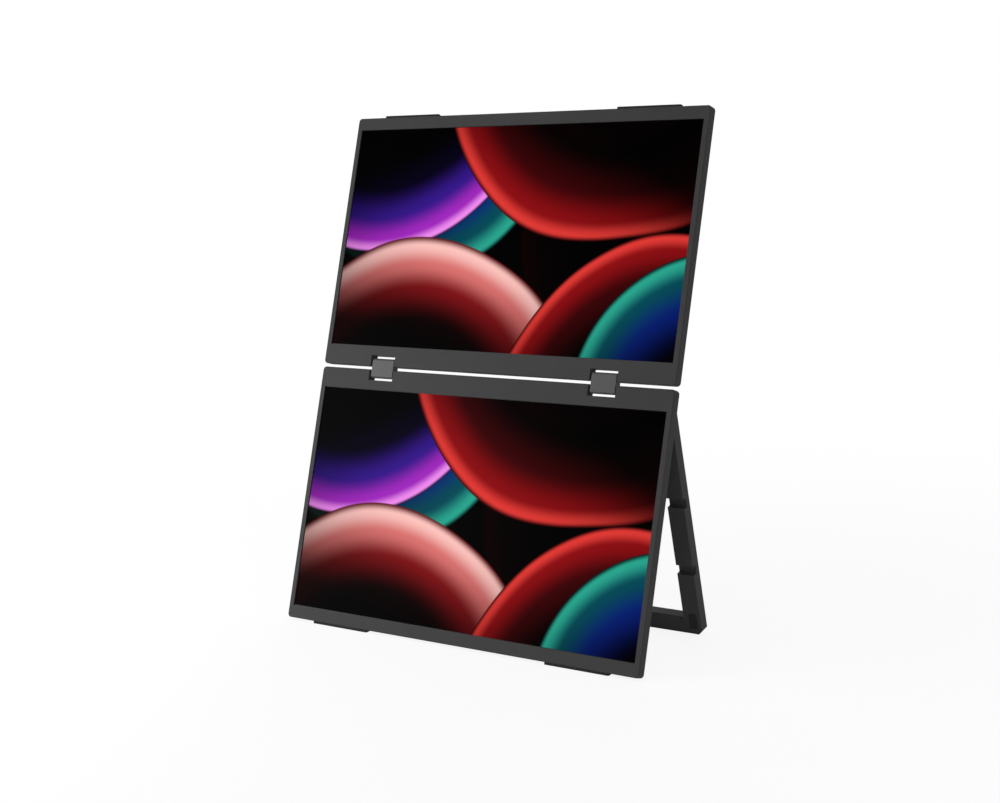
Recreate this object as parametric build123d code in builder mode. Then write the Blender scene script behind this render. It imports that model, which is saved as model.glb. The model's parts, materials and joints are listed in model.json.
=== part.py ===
from build123d import *

import os
from math import atan2, cos, radians, sin, tan

# Dual portable monitor: two hinged screens on a folding prop stand, in millimetres.
# X runs to the viewer's right, the screens face -Y, +Z is up, and the origin is on the
# table under the middle of the object. The two screens mirror about the slit between them.

# Displays: the lit area of a 15.6 inch 16:9 screen, and the dark glass edge inside the bezel
DISPLAY_W = 344.16
DISPLAY_H = 193.59
DISPLAY_BORDER = 0.4

# Casing of one screen
SIDE_BAND = 5.4
HINGE_BAND = 17.85
FAR_BAND = 11.3
PANEL_T = 8.8
CORNER_R = 3.2
FRONT_EDGE_R = 1.2
BACK_EDGE_R = 1.4
SEAM_CHAMFER = 0.25
FRONT_WALL = 1.0
SIDE_WALL = 1.6
BACK_WALL = 1.4
PANEL_GAP = 3.0

# Display stack behind the front wall of the bezel
CELL_GAP = 0.05
CELL_LAP = 3.0
CELL_T = 1.2
GUIDE_T = 1.8
GUIDE_FIT = 0.1
TRAY_WALL = 0.6
TRAY_FLOOR = 0.6
RIB_W = 1.2
RIB_LEN = 120.0
DRIVER_W = 240.0
DRIVER_H = 14.0
DRIVER_T = 0.8
DRIVER_INSET = 4.0
DRIVER_CHIP_W = 14.0
DRIVER_CHIP_H = 5.0
DRIVER_CHIP_T = 0.9
DRIVER_CHIP_PITCH = 80.0
DRIVER_CHIPS = 3
RIBBON_W = 16.0
RIBBON_T = 0.35
UPPER_RIBBON_LEN = 90.0

# Hinge blocks, their notches and what holds them, set in from the sides of the casing
HINGE_INSET = 65.68
BLOCK_W = 23.5
BLOCK_H = 17.2
BLOCK_T = 7.0
BLOCK_R = 2.2
BLOCK_END_R = 0.4
NOTCH_SIDE_GAP = 1.25
NOTCH_DEPTH = 9.45
AXIS_INSET = 4.35
PIN_R = 1.6
PIN_CHAMFER = 0.3
BUSH_R = 2.05
BUSH_LEN = 8.0
WASHER_R = 2.5
WASHER_T = 1.05
BRACKET_FRONT_GAP = 0.4
EAR_W = 9.0
PIN_SHY = 1.0
BRACKET_SCREW_R = 1.25
BRACKET_SCREW_LEN = 5.0
BRACKET_SCREW_INSET = 9.6
COUNTERSINK_R = 2.2

# Fits between pieces
FIT = 0.1
SEAT_FIT = 0.02
RUN_FIT = 0.05
SCREW_FIT = 0.02
PASS_FIT = 0.15

# Casing screws
CASE_SCREW_R = 0.9
CASE_HEAD_R = 1.9
CASE_HEAD_T = 1.1
CASE_HEAD_SINK = 0.2
CASE_SCREW_BITE = 2.4
CASE_TIP_GAP = 0.3
CASE_BOSS_R = 2.7
CASE_SCREW_NEAR_INSET = 11.48
CASE_SCREW_NEAR_U = 40.0
CASE_SCREW_FAR_INSET = 17.48
CASE_SCREW_FAR_U = 60.0
CROSS_W = 0.45
CROSS_DEPTH = 0.5

# Rubber foot strips on the far edge of each screen: wedges, with the least height in the middle of the sole
# and at its rear edge
FOOT_INSET = 57.73
FOOT_LEN = 60.0
FOOT_D = 2.4
FOOT_W = 5.0
FOOT_H = 1.2
FOOT_EDGE = 0.32
FOOT_END_R = 1.5

# Stand frame, seen from the front: the lengths run down from its hinge axis
STAND_OPEN = 30.5
STAND_INSET = 7.2
STAND_T = 10.0
STAND_LEN = 197.9
STAND_DROP = 13.7
STAND_GAP = 0.5
LEG_W = 15.6
CROSSBAR_H = 14.5
TOE_CHAMFER = 3.0
STAND_EDGE_R = 0.7
STAND_CORNER_R = 1.0
GROOVE_H = 8.0
GROOVE_DEPTH = 4.6
GROOVE_R = 1.2
GROOVE_DROPS = (80.1, 139.7)
PAD_W = 7.2
PAD_H = 13.2
PAD_INSET = 6.9
PAD_RISE = 11.6
PAD_R = 1.2
PAD_T = 1.1
PAD_PROUD = 0.3
PIP_R = 0.8
PIP_DEPTH = 1.5
PIP_INSET = 2.5
PIP_BELOW = 2.0

# Stand hinges on the back of the lower screen
MOUNT_GAP = 0.3
LUG_W = 8.0
LUG_R = 4.0
MOUNT_W = 20.5
MOUNT_H = 24.0
MOUNT_T = 2.0
MOUNT_R = 2.0
MOUNT_SCREW_INSET = 5.0
MOUNT_SCREW_PITCH = 16.0
MOUNT_SCREW_R = 1.0
MOUNT_HEAD_R = 2.0
MOUNT_HEAD_T = 1.3
MOUNT_BOSS_R = 2.2
MOUNT_BOSS_GAP = 0.15
STAND_PIN_R = 1.6
STAND_PIN_HEAD_R = 2.4
STAND_PIN_HEAD_T = 1.2
STAND_PIN_REACH = 10.0
STAND_BUSH_R = 2.2
STAND_BORE_SPARE = 0.8

# Electronics housing on the lower rear cover
HOUSING_W = 236.0
HOUSING_H = 138.0
HOUSING_DROP = 48.0
HOUSING_DEPTH = 8.0
HOUSING_WALL = 1.6
HOUSING_R = 6.0
HOUSING_EDGE_R = 2.0
VENT_W = 16.0
VENT_H = 1.8
VENT_PITCH_X = 20.0
VENT_PITCH_V = 4.2
VENT_COLUMNS = 6
VENT_ROWS = 4
VENT_DROP = 118.0

# Main board, its shield and its sockets
BOARD_H = 80.0
BOARD_DROP = 34.0
BOARD_T = 1.4
BOARD_FRONT_GAP = 0.4
BOARD_SIDE_GAP = 0.6
BOARD_POST_R = 2.4
BOARD_POST_INSET_U = 18.0
BOARD_POST_INSET_V = 6.0
BOARD_SCREW_R = 0.9
BOARD_HEAD_R = 1.8
BOARD_HEAD_T = 1.0
BOARD_SCREW_BITE = 3.0
SHIELD_W = 70.0
SHIELD_H = 44.0
SHIELD_T = 2.4
SHIELD_WALL = 0.3
CHIP_W = 18.0
CHIP_T = 1.4
SOCKET_LIP = 0.4
SOCKET_SHELL = 0.35
USB_W = 8.9
USB_T = 3.2
USB_LEN = 7.5
HDMI_W = 11.2
HDMI_T = 3.2
HDMI_LEN = 7.5
SOCKET_FLOOR = 1.0
TONGUE_T = 0.7
TONGUE_SHY = 0.8
TONGUE_SIDE = 1.6

# Speakers behind the grilles of the housing
SPEAKER_INSET = 13.4
SPEAKER_DROP = 18.0
SPEAKER_W = 38.0
SPEAKER_H = 18.0
SPEAKER_T = 5.0
SPEAKER_R = 3.0
MAGNET_R = 7.0
MAGNET_T = 1.6
GRILLE_HOLE_R = 0.75
GRILLE_PITCH = 3.2
GRILLE_COLUMNS = 10
GRILLE_ROWS = 4

# Buttons on the left edge of the lower screen
BUTTON_DROP = 58.0
BUTTON_PITCH = 15.0
BUTTON_LEN = 9.0
BUTTON_T = 1.8
BUTTON_PROUD = 0.7
BUTTON_EDGE_R = 0.3
BUTTON_TRAVEL = 0.35
BUTTON_FIT = 0.1
FLANGE_LEN = 12.0
FLANGE_T = 0.8
SWITCH_GAP = 0.1
SWITCH_W = 2.4
SWITCH_LEN = 4.0
SWITCH_T = 1.3
KEY_BOARD_W = 6.0
KEY_BOARD_T = 0.5
KEY_BOARD_MARGIN = 6.0

SCREENS = ((-1, "lower"), (1, "upper"))
SIDES = ((-1, "left"), (1, "right"))

# Places across one screen: u to the right, v up from the middle of the slit, d back from the front face
PANEL_W = DISPLAY_W + 2 * SIDE_BAND
PANEL_H = HINGE_BAND + DISPLAY_H + FAR_BAND
EDGE_V = PANEL_GAP / 2
FAR_V = EDGE_V + PANEL_H
PANEL_MID = EDGE_V + PANEL_H / 2
DISPLAY_MID = EDGE_V + HINGE_BAND + DISPLAY_H / 2
SPLIT_D = PANEL_T / 2
INNER_BACK_D = PANEL_T - BACK_WALL
INNER_EDGE_V = EDGE_V + SIDE_WALL
CELL_EDGE_V = EDGE_V + HINGE_BAND - CELL_LAP
CELL_FAR_V = FAR_V - FAR_BAND + CELL_LAP
AXIS_V = EDGE_V + AXIS_INSET
AXIS_D = PANEL_T / 2
HINGE_X = PANEL_W / 2 - HINGE_INSET
FOOT_X = PANEL_W / 2 - FOOT_INSET
NOTCH_W = BLOCK_W + 2 * NOTCH_SIDE_GAP
CELL_W = DISPLAY_W + 2 * CELL_LAP
CELL_H = DISPLAY_H + 2 * CELL_LAP
CELL_D = FRONT_WALL + CELL_GAP
GUIDE_D = CELL_D + CELL_T
TRAY_BACK_D = GUIDE_D + GUIDE_T + TRAY_FLOOR
HINGE_BOSS_V = (INNER_EDGE_V + CELL_EDGE_V) / 2
FAR_BOSS_V = (CELL_FAR_V + FAR_V - SIDE_WALL) / 2
HEAD_SEAT_D = PANEL_T - CASE_HEAD_SINK - CASE_HEAD_T
COUNTERSINK_DEPTH = COUNTERSINK_R - BRACKET_SCREW_R

# Stand hinge axis and housing, in the same places
STAND_AXIS_V = -(EDGE_V + STAND_DROP)
STAND_AXIS_D = PANEL_T + STAND_GAP + STAND_T / 2
STAND_W = PANEL_W - 2 * STAND_INSET
LEG_IN_U = STAND_W / 2 - LEG_W
LUG_OUT_U = LEG_IN_U - MOUNT_GAP
LUG_IN_U = LUG_OUT_U - LUG_W
HOUSING_TOP_V = -(EDGE_V + HOUSING_DROP)
HOUSING_MID_V = HOUSING_TOP_V - HOUSING_H / 2
HOUSING_BACK_D = PANEL_T + HOUSING_DEPTH
HOUSING_INNER_D = HOUSING_BACK_D - HOUSING_WALL
SPEAKER_X = HOUSING_W / 2 - HOUSING_WALL - SPEAKER_INSET - SPEAKER_W / 2
RIB_U = (HOUSING_W + PANEL_W) / 4
BOARD_W = HOUSING_W - 2 * (HOUSING_WALL + BOARD_SIDE_GAP)
BOARD_MID_V = HOUSING_TOP_V - BOARD_DROP - BOARD_H / 2
BOARD_FRONT_D = PANEL_T + BOARD_FRONT_GAP
BOARD_BACK_D = BOARD_FRONT_D + BOARD_T
PORT_DROPS = [STAND_AXIS_V - drop for drop in GROOVE_DROPS]
BUTTON_D = (TRAY_BACK_D + INNER_BACK_D) / 2
BUTTON_PLACES = [-(EDGE_V + BUTTON_DROP + BUTTON_PITCH * step) for step in range(3)]

# The floor touches the soles of the feet and the toe of the stand, and that sets how far the screens lean
OPENING = radians(STAND_OPEN)
TOE_V = STAND_AXIS_V - STAND_LEN * cos(OPENING) - STAND_T / 2 * sin(OPENING)
TOE_D = STAND_AXIS_D + STAND_LEN * sin(OPENING) - STAND_T / 2 * cos(OPENING)
EDGE_LEAN = atan2(TOE_V + FAR_V + FOOT_EDGE, TOE_D - FOOT_D - FOOT_W)
MIDDLE_LEAN = atan2(TOE_V + FAR_V + FOOT_H, TOE_D - FOOT_D - FOOT_W / 2)
LEAN = max(EDGE_LEAN, MIDDLE_LEAN)
SOLE_FRONT_V = (TOE_D - FOOT_D) * tan(LEAN) - TOE_V
SOLE_REAR_V = SOLE_FRONT_V - FOOT_W * tan(LEAN)
REAR_Y = (FAR_V - BACK_EDGE_R) * sin(LEAN) + (PANEL_T - BACK_EDGE_R) * cos(LEAN) + BACK_EDGE_R
FRONT_Y = -(FAR_V - FRONT_EDGE_R) * sin(LEAN) + FRONT_EDGE_R * cos(LEAN) - FRONT_EDGE_R
SCREEN_Y = -(REAR_Y + FRONT_Y) / 2
SCREEN_Z = TOE_D * sin(LEAN) - TOE_V * cos(LEAN)

# SCREEN is the plane of the front faces, SIDE stands square to X with d and v as its axes
SCREEN = Plane(origin=(0, SCREEN_Y, SCREEN_Z), x_dir=(1, 0, 0), z_dir=(0, -cos(LEAN), sin(LEAN)))
SIDE = Plane(origin=SCREEN.origin, x_dir=-SCREEN.z_dir, z_dir=(1, 0, 0))
FRONTWARD = Axis(SCREEN.origin, SCREEN.z_dir)
UPWARD = Axis(SCREEN.origin, SCREEN.y_dir)

# STAND is the middle plane of the stand frame, with its hinge axis along its own x
STAND_LEAN = LEAN - OPENING
STAND = Plane(
    origin=SIDE.from_local_coords((STAND_AXIS_D, STAND_AXIS_V, 0)),
    x_dir=(1, 0, 0),
    z_dir=(0, -cos(STAND_LEAN), sin(STAND_LEAN)),
)
STAND_SIDE = Plane(origin=STAND.origin, x_dir=-STAND.z_dir, z_dir=(1, 0, 0))
STAND_FRONTWARD = Axis(STAND.origin, STAND.z_dir)

os.makedirs("parts", exist_ok=True)


def panel_outline(side):
    """Draw the outline of one screen's casing."""
    with Locations((0, side * PANEL_MID)):
        RectangleRounded(PANEL_W, PANEL_H, CORNER_R)


def hinge_notches(side, margin=0.0, mode=Mode.ADD):
    """Draw the two hinge notches of one screen, wider by a margin all round."""
    with Locations((-HINGE_X, side * EDGE_V), (HINGE_X, side * EDGE_V)):
        Rectangle(NOTCH_W + 2 * margin, 2 * (NOTCH_DEPTH + margin), mode=mode)


def panel_inside(side):
    """Draw the hollow of one screen's casing, clear of the walls around its notches."""
    with Locations((0, side * PANEL_MID)):
        RectangleRounded(PANEL_W - 2 * SIDE_WALL, PANEL_H - 2 * SIDE_WALL, CORNER_R - SIDE_WALL)
    hinge_notches(side, SIDE_WALL, Mode.SUBTRACT)


def case_screw_places(side):
    """List the casing screws of one screen, in the two bands clear of its display."""
    places = []
    for turn, _ in SIDES:
        places.append((turn * CASE_SCREW_NEAR_U, side * HINGE_BOSS_V))
        places.append((turn * (PANEL_W / 2 - CASE_SCREW_NEAR_INSET), side * HINGE_BOSS_V))
        places.append((turn * CASE_SCREW_FAR_U, side * FAR_BOSS_V))
        places.append((turn * (PANEL_W / 2 - CASE_SCREW_FAR_INSET), side * FAR_BOSS_V))
    return places


def bracket_screw_places(side):
    """List the countersunk screws that hold one screen's two hinge brackets."""
    reach = NOTCH_W / 2 + SIDE_WALL + FIT + EAR_W / 2
    v = side * (EDGE_V + BRACKET_SCREW_INSET)
    return [(hinge + turn * reach, v) for hinge in (-HINGE_X, HINGE_X) for turn in (-1, 1)]


def mount_screw_places():
    """List the screws of the two stand mounts."""
    u = LUG_OUT_U - MOUNT_W + MOUNT_SCREW_INSET
    rows = (STAND_AXIS_V - MOUNT_SCREW_PITCH / 2, STAND_AXIS_V + MOUNT_SCREW_PITCH / 2)
    return [(turn * u, v) for turn in (-1, 1) for v in rows]


def board_screw_places():
    """List the four corner screws of the main board."""
    u = BOARD_W / 2 - BOARD_POST_INSET_U
    v = BOARD_H / 2 - BOARD_POST_INSET_V
    return [(turn * u, BOARD_MID_V + rise * v) for turn in (-1, 1) for rise in (-1, 1)]


def cross_recess(plane, places, reach):
    """Cut a cross for a driver into each screw head that lies on a plane."""
    with BuildSketch(plane) as cross:
        with Locations(*places):
            Rectangle(reach, CROSS_W)
            Rectangle(CROSS_W, reach)
    extrude(cross.sketch, amount=CROSS_DEPTH, mode=Mode.SUBTRACT)


for side, name in SCREENS:
    # Front frame: a shallow pan with the display window and the hinge notches
    with BuildPart() as bezel:
        with BuildSketch(SCREEN):
            panel_outline(side)
        extrude(amount=-SPLIT_D)
        fillet(bezel.faces().sort_by(FRONTWARD)[-1].edges(), FRONT_EDGE_R)
        chamfer(bezel.faces().sort_by(FRONTWARD)[0].edges(), SEAM_CHAMFER)
        with BuildSketch(SCREEN):
            hinge_notches(side)
        extrude(amount=-SPLIT_D, mode=Mode.SUBTRACT)
        with BuildSketch(SCREEN.offset(-FRONT_WALL)):
            panel_inside(side)
        extrude(amount=FRONT_WALL - SPLIT_D, mode=Mode.SUBTRACT)
        with BuildSketch(SCREEN):
            with Locations((0, side * DISPLAY_MID)):
                Rectangle(DISPLAY_W + 2 * DISPLAY_BORDER, DISPLAY_H + 2 * DISPLAY_BORDER)
        extrude(amount=-FRONT_WALL, mode=Mode.SUBTRACT)
        with BuildSketch(SCREEN.offset(-FRONT_WALL)):
            with Locations(*case_screw_places(side)):
                Circle(CASE_BOSS_R)
        extrude(amount=FRONT_WALL - SPLIT_D)
        with BuildSketch(SCREEN.offset(-SPLIT_D)):
            with Locations(*case_screw_places(side)):
                Circle(CASE_SCREW_R + SCREW_FIT)
        extrude(amount=CASE_SCREW_BITE, mode=Mode.SUBTRACT)
        with BuildSketch(*[SIDE.offset(u - NOTCH_W / 2 - SIDE_WALL) for u in (-HINGE_X, HINGE_X)]):
            with Locations((AXIS_D, side * AXIS_V)):
                Circle(PIN_R + PASS_FIT)
        extrude(amount=NOTCH_W + 2 * SIDE_WALL, mode=Mode.SUBTRACT)
    bezel.part.label = f"{name}_bezel"
    export_step(bezel.part, f"parts/{name}_bezel.step")

    # Back shell: the lower one carries the electronics housing, the stand and the buttons
    with BuildPart() as cover:
        with BuildSketch(SCREEN.offset(-SPLIT_D)):
            panel_outline(side)
        extrude(amount=SPLIT_D - PANEL_T)
        fillet(cover.faces().sort_by(FRONTWARD)[0].edges(), BACK_EDGE_R)
        chamfer(cover.faces().sort_by(FRONTWARD)[-1].edges(), SEAM_CHAMFER)
        if name == "lower":
            with BuildSketch(SCREEN.offset(-PANEL_T)):
                with Locations((0, HOUSING_MID_V)):
                    RectangleRounded(HOUSING_W, HOUSING_H, HOUSING_R)
            extrude(amount=-HOUSING_DEPTH)
            fillet(cover.faces().sort_by(FRONTWARD)[0].edges(), HOUSING_EDGE_R)
        with BuildSketch(SCREEN.offset(-SPLIT_D)):
            hinge_notches(side)
        extrude(amount=SPLIT_D - PANEL_T, mode=Mode.SUBTRACT)
        with BuildSketch(SCREEN.offset(-SPLIT_D)):
            panel_inside(side)
        extrude(amount=SPLIT_D - INNER_BACK_D, mode=Mode.SUBTRACT)
        with BuildSketch(SCREEN.offset(-SPLIT_D)):
            with Locations(*case_screw_places(side)):
                Circle(CASE_BOSS_R)
        extrude(amount=SPLIT_D - INNER_BACK_D)
        with BuildSketch(SCREEN.offset(-TRAY_BACK_D)):
            with Locations((-RIB_U, side * DISPLAY_MID), (RIB_U, side * DISPLAY_MID)):
                Rectangle(RIB_W, RIB_LEN)
        extrude(amount=TRAY_BACK_D - INNER_BACK_D)
        with BuildSketch(SCREEN.offset(-SPLIT_D)):
            with Locations(*case_screw_places(side)):
                Circle(CASE_SCREW_R + FIT)
        extrude(amount=SPLIT_D - PANEL_T, mode=Mode.SUBTRACT)
        with BuildSketch(SCREEN.offset(-PANEL_T)):
            with Locations(*case_screw_places(side)):
                Circle(CASE_HEAD_R + PASS_FIT)
        extrude(amount=PANEL_T - HEAD_SEAT_D, mode=Mode.SUBTRACT)
        with BuildSketch(SCREEN.offset(-PANEL_T)):
            with Locations(*bracket_screw_places(side)):
                Circle(COUNTERSINK_R + FIT)
        extrude(amount=COUNTERSINK_DEPTH, taper=45, mode=Mode.SUBTRACT)
        with BuildSketch(SCREEN.offset(-INNER_BACK_D)):
            with Locations(*bracket_screw_places(side)):
                Circle(BRACKET_SCREW_R + FIT)
        extrude(amount=-BACK_WALL, mode=Mode.SUBTRACT)
        with BuildSketch(*[SIDE.offset(u - NOTCH_W / 2 - SIDE_WALL) for u in (-HINGE_X, HINGE_X)]):
            with Locations((AXIS_D, side * AXIS_V)):
                Circle(PIN_R + PASS_FIT)
        extrude(amount=NOTCH_W + 2 * SIDE_WALL, mode=Mode.SUBTRACT)
        if name == "lower":
            with BuildSketch(SCREEN.offset(-INNER_BACK_D)):
                with Locations((0, HOUSING_MID_V)):
                    inner_r = HOUSING_R - HOUSING_WALL
                    RectangleRounded(HOUSING_W - 2 * HOUSING_WALL, HOUSING_H - 2 * HOUSING_WALL, inner_r)
            extrude(amount=INNER_BACK_D - HOUSING_INNER_D, mode=Mode.SUBTRACT)
            with BuildSketch(SCREEN.offset(-BOARD_BACK_D)):
                with Locations(*board_screw_places()):
                    Circle(BOARD_POST_R)
            extrude(amount=BOARD_BACK_D - HOUSING_INNER_D)
            with BuildSketch(SCREEN.offset(-BOARD_BACK_D)):
                with Locations(*board_screw_places()):
                    Circle(BOARD_SCREW_R + SCREW_FIT)
            extrude(amount=-BOARD_SCREW_BITE, mode=Mode.SUBTRACT)
            with BuildSketch(SCREEN.offset(-TRAY_BACK_D - MOUNT_BOSS_GAP)):
                with Locations(*mount_screw_places()):
                    Circle(MOUNT_BOSS_R)
            extrude(amount=TRAY_BACK_D + MOUNT_BOSS_GAP - INNER_BACK_D)
            with BuildSketch(SCREEN.offset(-PANEL_T)):
                with Locations(*mount_screw_places()):
                    Circle(MOUNT_SCREW_R + SCREW_FIT)
            extrude(amount=PANEL_T - TRAY_BACK_D - MOUNT_BOSS_GAP, mode=Mode.SUBTRACT)
            with BuildSketch(SCREEN.offset(-HOUSING_BACK_D)):
                for turn, _ in SIDES:
                    with Locations((turn * SPEAKER_X, HOUSING_TOP_V - SPEAKER_DROP)):
                        with GridLocations(GRILLE_PITCH, GRILLE_PITCH, GRILLE_COLUMNS, GRILLE_ROWS):
                            Circle(GRILLE_HOLE_R)
                with Locations((0, HOUSING_TOP_V - VENT_DROP)):
                    with GridLocations(VENT_PITCH_X, VENT_PITCH_V, VENT_COLUMNS, VENT_ROWS):
                        SlotOverall(VENT_W, VENT_H)
            extrude(amount=HOUSING_WALL, mode=Mode.SUBTRACT)
            with BuildSketch(SIDE.offset(HOUSING_W / 2)):
                with Locations(*[(BOARD_BACK_D + USB_T / 2, v) for v in PORT_DROPS]):
                    SlotOverall(USB_W + 2 * FIT, USB_T + 2 * FIT, rotation=90)
            extrude(amount=-HOUSING_WALL, mode=Mode.SUBTRACT)
            with BuildSketch(SIDE.offset(-HOUSING_W / 2)):
                with Locations((BOARD_BACK_D + HDMI_T / 2, PORT_DROPS[0])):
                    Rectangle(HDMI_T + 2 * FIT, HDMI_W + 2 * FIT)
            extrude(amount=HOUSING_WALL, mode=Mode.SUBTRACT)
            with BuildSketch(SIDE.offset(-PANEL_W / 2)):
                with Locations(*[(BUTTON_D, v) for v in BUTTON_PLACES]):
                    SlotOverall(BUTTON_LEN + 2 * BUTTON_FIT, BUTTON_T + 2 * BUTTON_FIT, rotation=90)
            extrude(amount=SIDE_WALL, mode=Mode.SUBTRACT)
    cover.part.label = f"{name}_rear_cover"
    export_step(cover.part, f"parts/{name}_rear_cover.step")

    # Display glass, held under the lips of the bezel window
    with BuildPart() as cell:
        with BuildSketch(SCREEN.offset(-CELL_D)):
            with Locations((0, side * DISPLAY_MID)):
                Rectangle(CELL_W, CELL_H)
        extrude(amount=-CELL_T)
    cell.part.label = f"{name}_display_cell"
    export_step(cell.part, f"parts/{name}_display_cell.step")

    # Light guide plate in its tray
    with BuildPart() as guide:
        with BuildSketch(SCREEN.offset(-GUIDE_D)):
            with Locations((0, side * DISPLAY_MID)):
                inset = 2 * (TRAY_WALL + GUIDE_FIT)
                Rectangle(CELL_W - inset, CELL_H - inset)
        extrude(amount=-GUIDE_T)
    guide.part.label = f"{name}_light_guide"
    export_step(guide.part, f"parts/{name}_light_guide.step")

    with BuildPart() as tray:
        with BuildSketch(SCREEN.offset(-GUIDE_D)):
            with Locations((0, side * DISPLAY_MID)):
                Rectangle(CELL_W, CELL_H)
        extrude(amount=GUIDE_D - TRAY_BACK_D)
        with BuildSketch(SCREEN.offset(-GUIDE_D)):
            with Locations((0, side * DISPLAY_MID)):
                Rectangle(CELL_W - 2 * TRAY_WALL, CELL_H - 2 * TRAY_WALL)
        extrude(amount=-GUIDE_T, mode=Mode.SUBTRACT)
    tray.part.label = f"{name}_backlight_tray"
    export_step(tray.part, f"parts/{name}_backlight_tray.step")

    # Driver board on the back of the tray, along the far edge
    driver_v = CELL_FAR_V - DRIVER_INSET - DRIVER_H / 2
    with BuildPart() as driver:
        with BuildSketch(SCREEN.offset(-TRAY_BACK_D)):
            with Locations((0, side * driver_v)):
                Rectangle(DRIVER_W, DRIVER_H)
        extrude(amount=-DRIVER_T)
        with BuildSketch(SCREEN.offset(-TRAY_BACK_D - DRIVER_T)):
            with Locations((0, side * driver_v)):
                with GridLocations(DRIVER_CHIP_PITCH, DRIVER_H, DRIVER_CHIPS, 1):
                    Rectangle(DRIVER_CHIP_W, DRIVER_CHIP_H)
        extrude(amount=-DRIVER_CHIP_T)
    driver.part.label = f"{name}_driver_board"
    export_step(driver.part, f"parts/{name}_driver_board.step")

    # Flat cable from the driver board: the lower one rises to the main board
    ribbon_start = driver_v - DRIVER_H / 2
    ribbon_end = -(BOARD_MID_V - BOARD_H / 2 + BOARD_POST_INSET_V)
    if name == "upper":
        ribbon_end = ribbon_start - UPPER_RIBBON_LEN
    with BuildPart() as ribbon:
        with BuildSketch(SCREEN.offset(-TRAY_BACK_D)):
            with Locations((0, side * (ribbon_start + ribbon_end) / 2)):
                Rectangle(RIBBON_W, ribbon_start - ribbon_end)
        extrude(amount=-RIBBON_T)
        if name == "lower":
            with BuildSketch(SCREEN.offset(-TRAY_BACK_D - RIBBON_T)):
                with Locations((0, side * (ribbon_end + RIBBON_T / 2))):
                    Rectangle(RIBBON_W, RIBBON_T)
            extrude(amount=TRAY_BACK_D + RIBBON_T - BOARD_FRONT_D)
    ribbon.part.label = f"{name}_ribbon"
    export_step(ribbon.part, f"parts/{name}_ribbon.step")

    for turn, hand in SIDES:
        # Cast hinge bracket: two ears round the notch, bored for the pin
        hinge_u = turn * HINGE_X
        clear_w = NOTCH_W + 2 * (SIDE_WALL + FIT)
        bracket_front_d = FRONT_WALL + BRACKET_FRONT_GAP
        with BuildPart() as bracket:
            with BuildSketch(SCREEN.offset(-bracket_front_d)):
                with Locations((hinge_u, side * (INNER_EDGE_V + CELL_EDGE_V) / 2)):
                    Rectangle(clear_w + 2 * EAR_W, CELL_EDGE_V - INNER_EDGE_V - 2 * FIT)
                with Locations((hinge_u, side * EDGE_V)):
                    Rectangle(clear_w, 2 * (NOTCH_DEPTH + SIDE_WALL + FIT), mode=Mode.SUBTRACT)
            extrude(amount=bracket_front_d - INNER_BACK_D)
            with BuildSketch(SIDE.offset(hinge_u - clear_w / 2 - EAR_W)):
                with Locations((AXIS_D, side * AXIS_V)):
                    Circle(PIN_R + SEAT_FIT)
            extrude(amount=clear_w + 2 * EAR_W, mode=Mode.SUBTRACT)
            with BuildSketch(SCREEN.offset(-INNER_BACK_D)):
                reach = clear_w / 2 + EAR_W / 2
                v = side * (EDGE_V + BRACKET_SCREW_INSET)
                with Locations((hinge_u - reach, v), (hinge_u + reach, v)):
                    Circle(BRACKET_SCREW_R + SCREW_FIT)
            extrude(amount=INNER_BACK_D - bracket_front_d, mode=Mode.SUBTRACT)
        bracket.part.label = f"{name}_hinge_bracket_{hand}"
        export_step(bracket.part, f"parts/{name}_hinge_bracket_{hand}.step")

        # Hinge pin, fast in the bracket and free in the block
        pin_len = clear_w + 2 * (EAR_W - PIN_SHY)
        with BuildPart() as pin:
            with BuildSketch(SIDE.offset(hinge_u - pin_len / 2)):
                with Locations((AXIS_D, side * AXIS_V)):
                    Circle(PIN_R)
            extrude(amount=pin_len)
            chamfer(pin.edges().filter_by(GeomType.CIRCLE), PIN_CHAMFER)
        pin.part.label = f"{name}_hinge_pin_{hand}"
        export_step(pin.part, f"parts/{name}_hinge_pin_{hand}.step")

        # Rubber foot strip: on the lower screen its sole lies flat on the table
        foot_u = turn * FOOT_X
        with BuildPart() as foot:
            with BuildSketch(SIDE.offset(foot_u - FOOT_LEN / 2)):
                with BuildLine():
                    Polyline(
                        (FOOT_D, side * FAR_V),
                        (FOOT_D + FOOT_W, side * FAR_V),
                        (FOOT_D + FOOT_W, side * SOLE_REAR_V),
                        (FOOT_D, side * SOLE_FRONT_V),
                        close=True,
                    )
                make_face()
            extrude(amount=FOOT_LEN)
            fillet(foot.edges().filter_by(UPWARD), FOOT_END_R)
        foot.part.label = f"{name}_foot_{hand}"
        export_step(foot.part, f"parts/{name}_foot_{hand}.step")

    # Friction washers between the walls of the notches and the hinge blocks
    washer_starts = []
    for turn, _ in SIDES:
        washer_starts.append(turn * HINGE_X - NOTCH_W / 2)
        washer_starts.append(turn * HINGE_X + NOTCH_W / 2 - WASHER_T)
    with BuildPart() as washers:
        with BuildSketch(*[SIDE.offset(u) for u in washer_starts]):
            with Locations((AXIS_D, side * AXIS_V)):
                Circle(WASHER_R)
                Circle(PIN_R + RUN_FIT, mode=Mode.SUBTRACT)
        extrude(amount=WASHER_T)
    washers.part.label = f"{name}_friction_washers"
    export_step(washers.part, f"parts/{name}_friction_washers.step")

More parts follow.
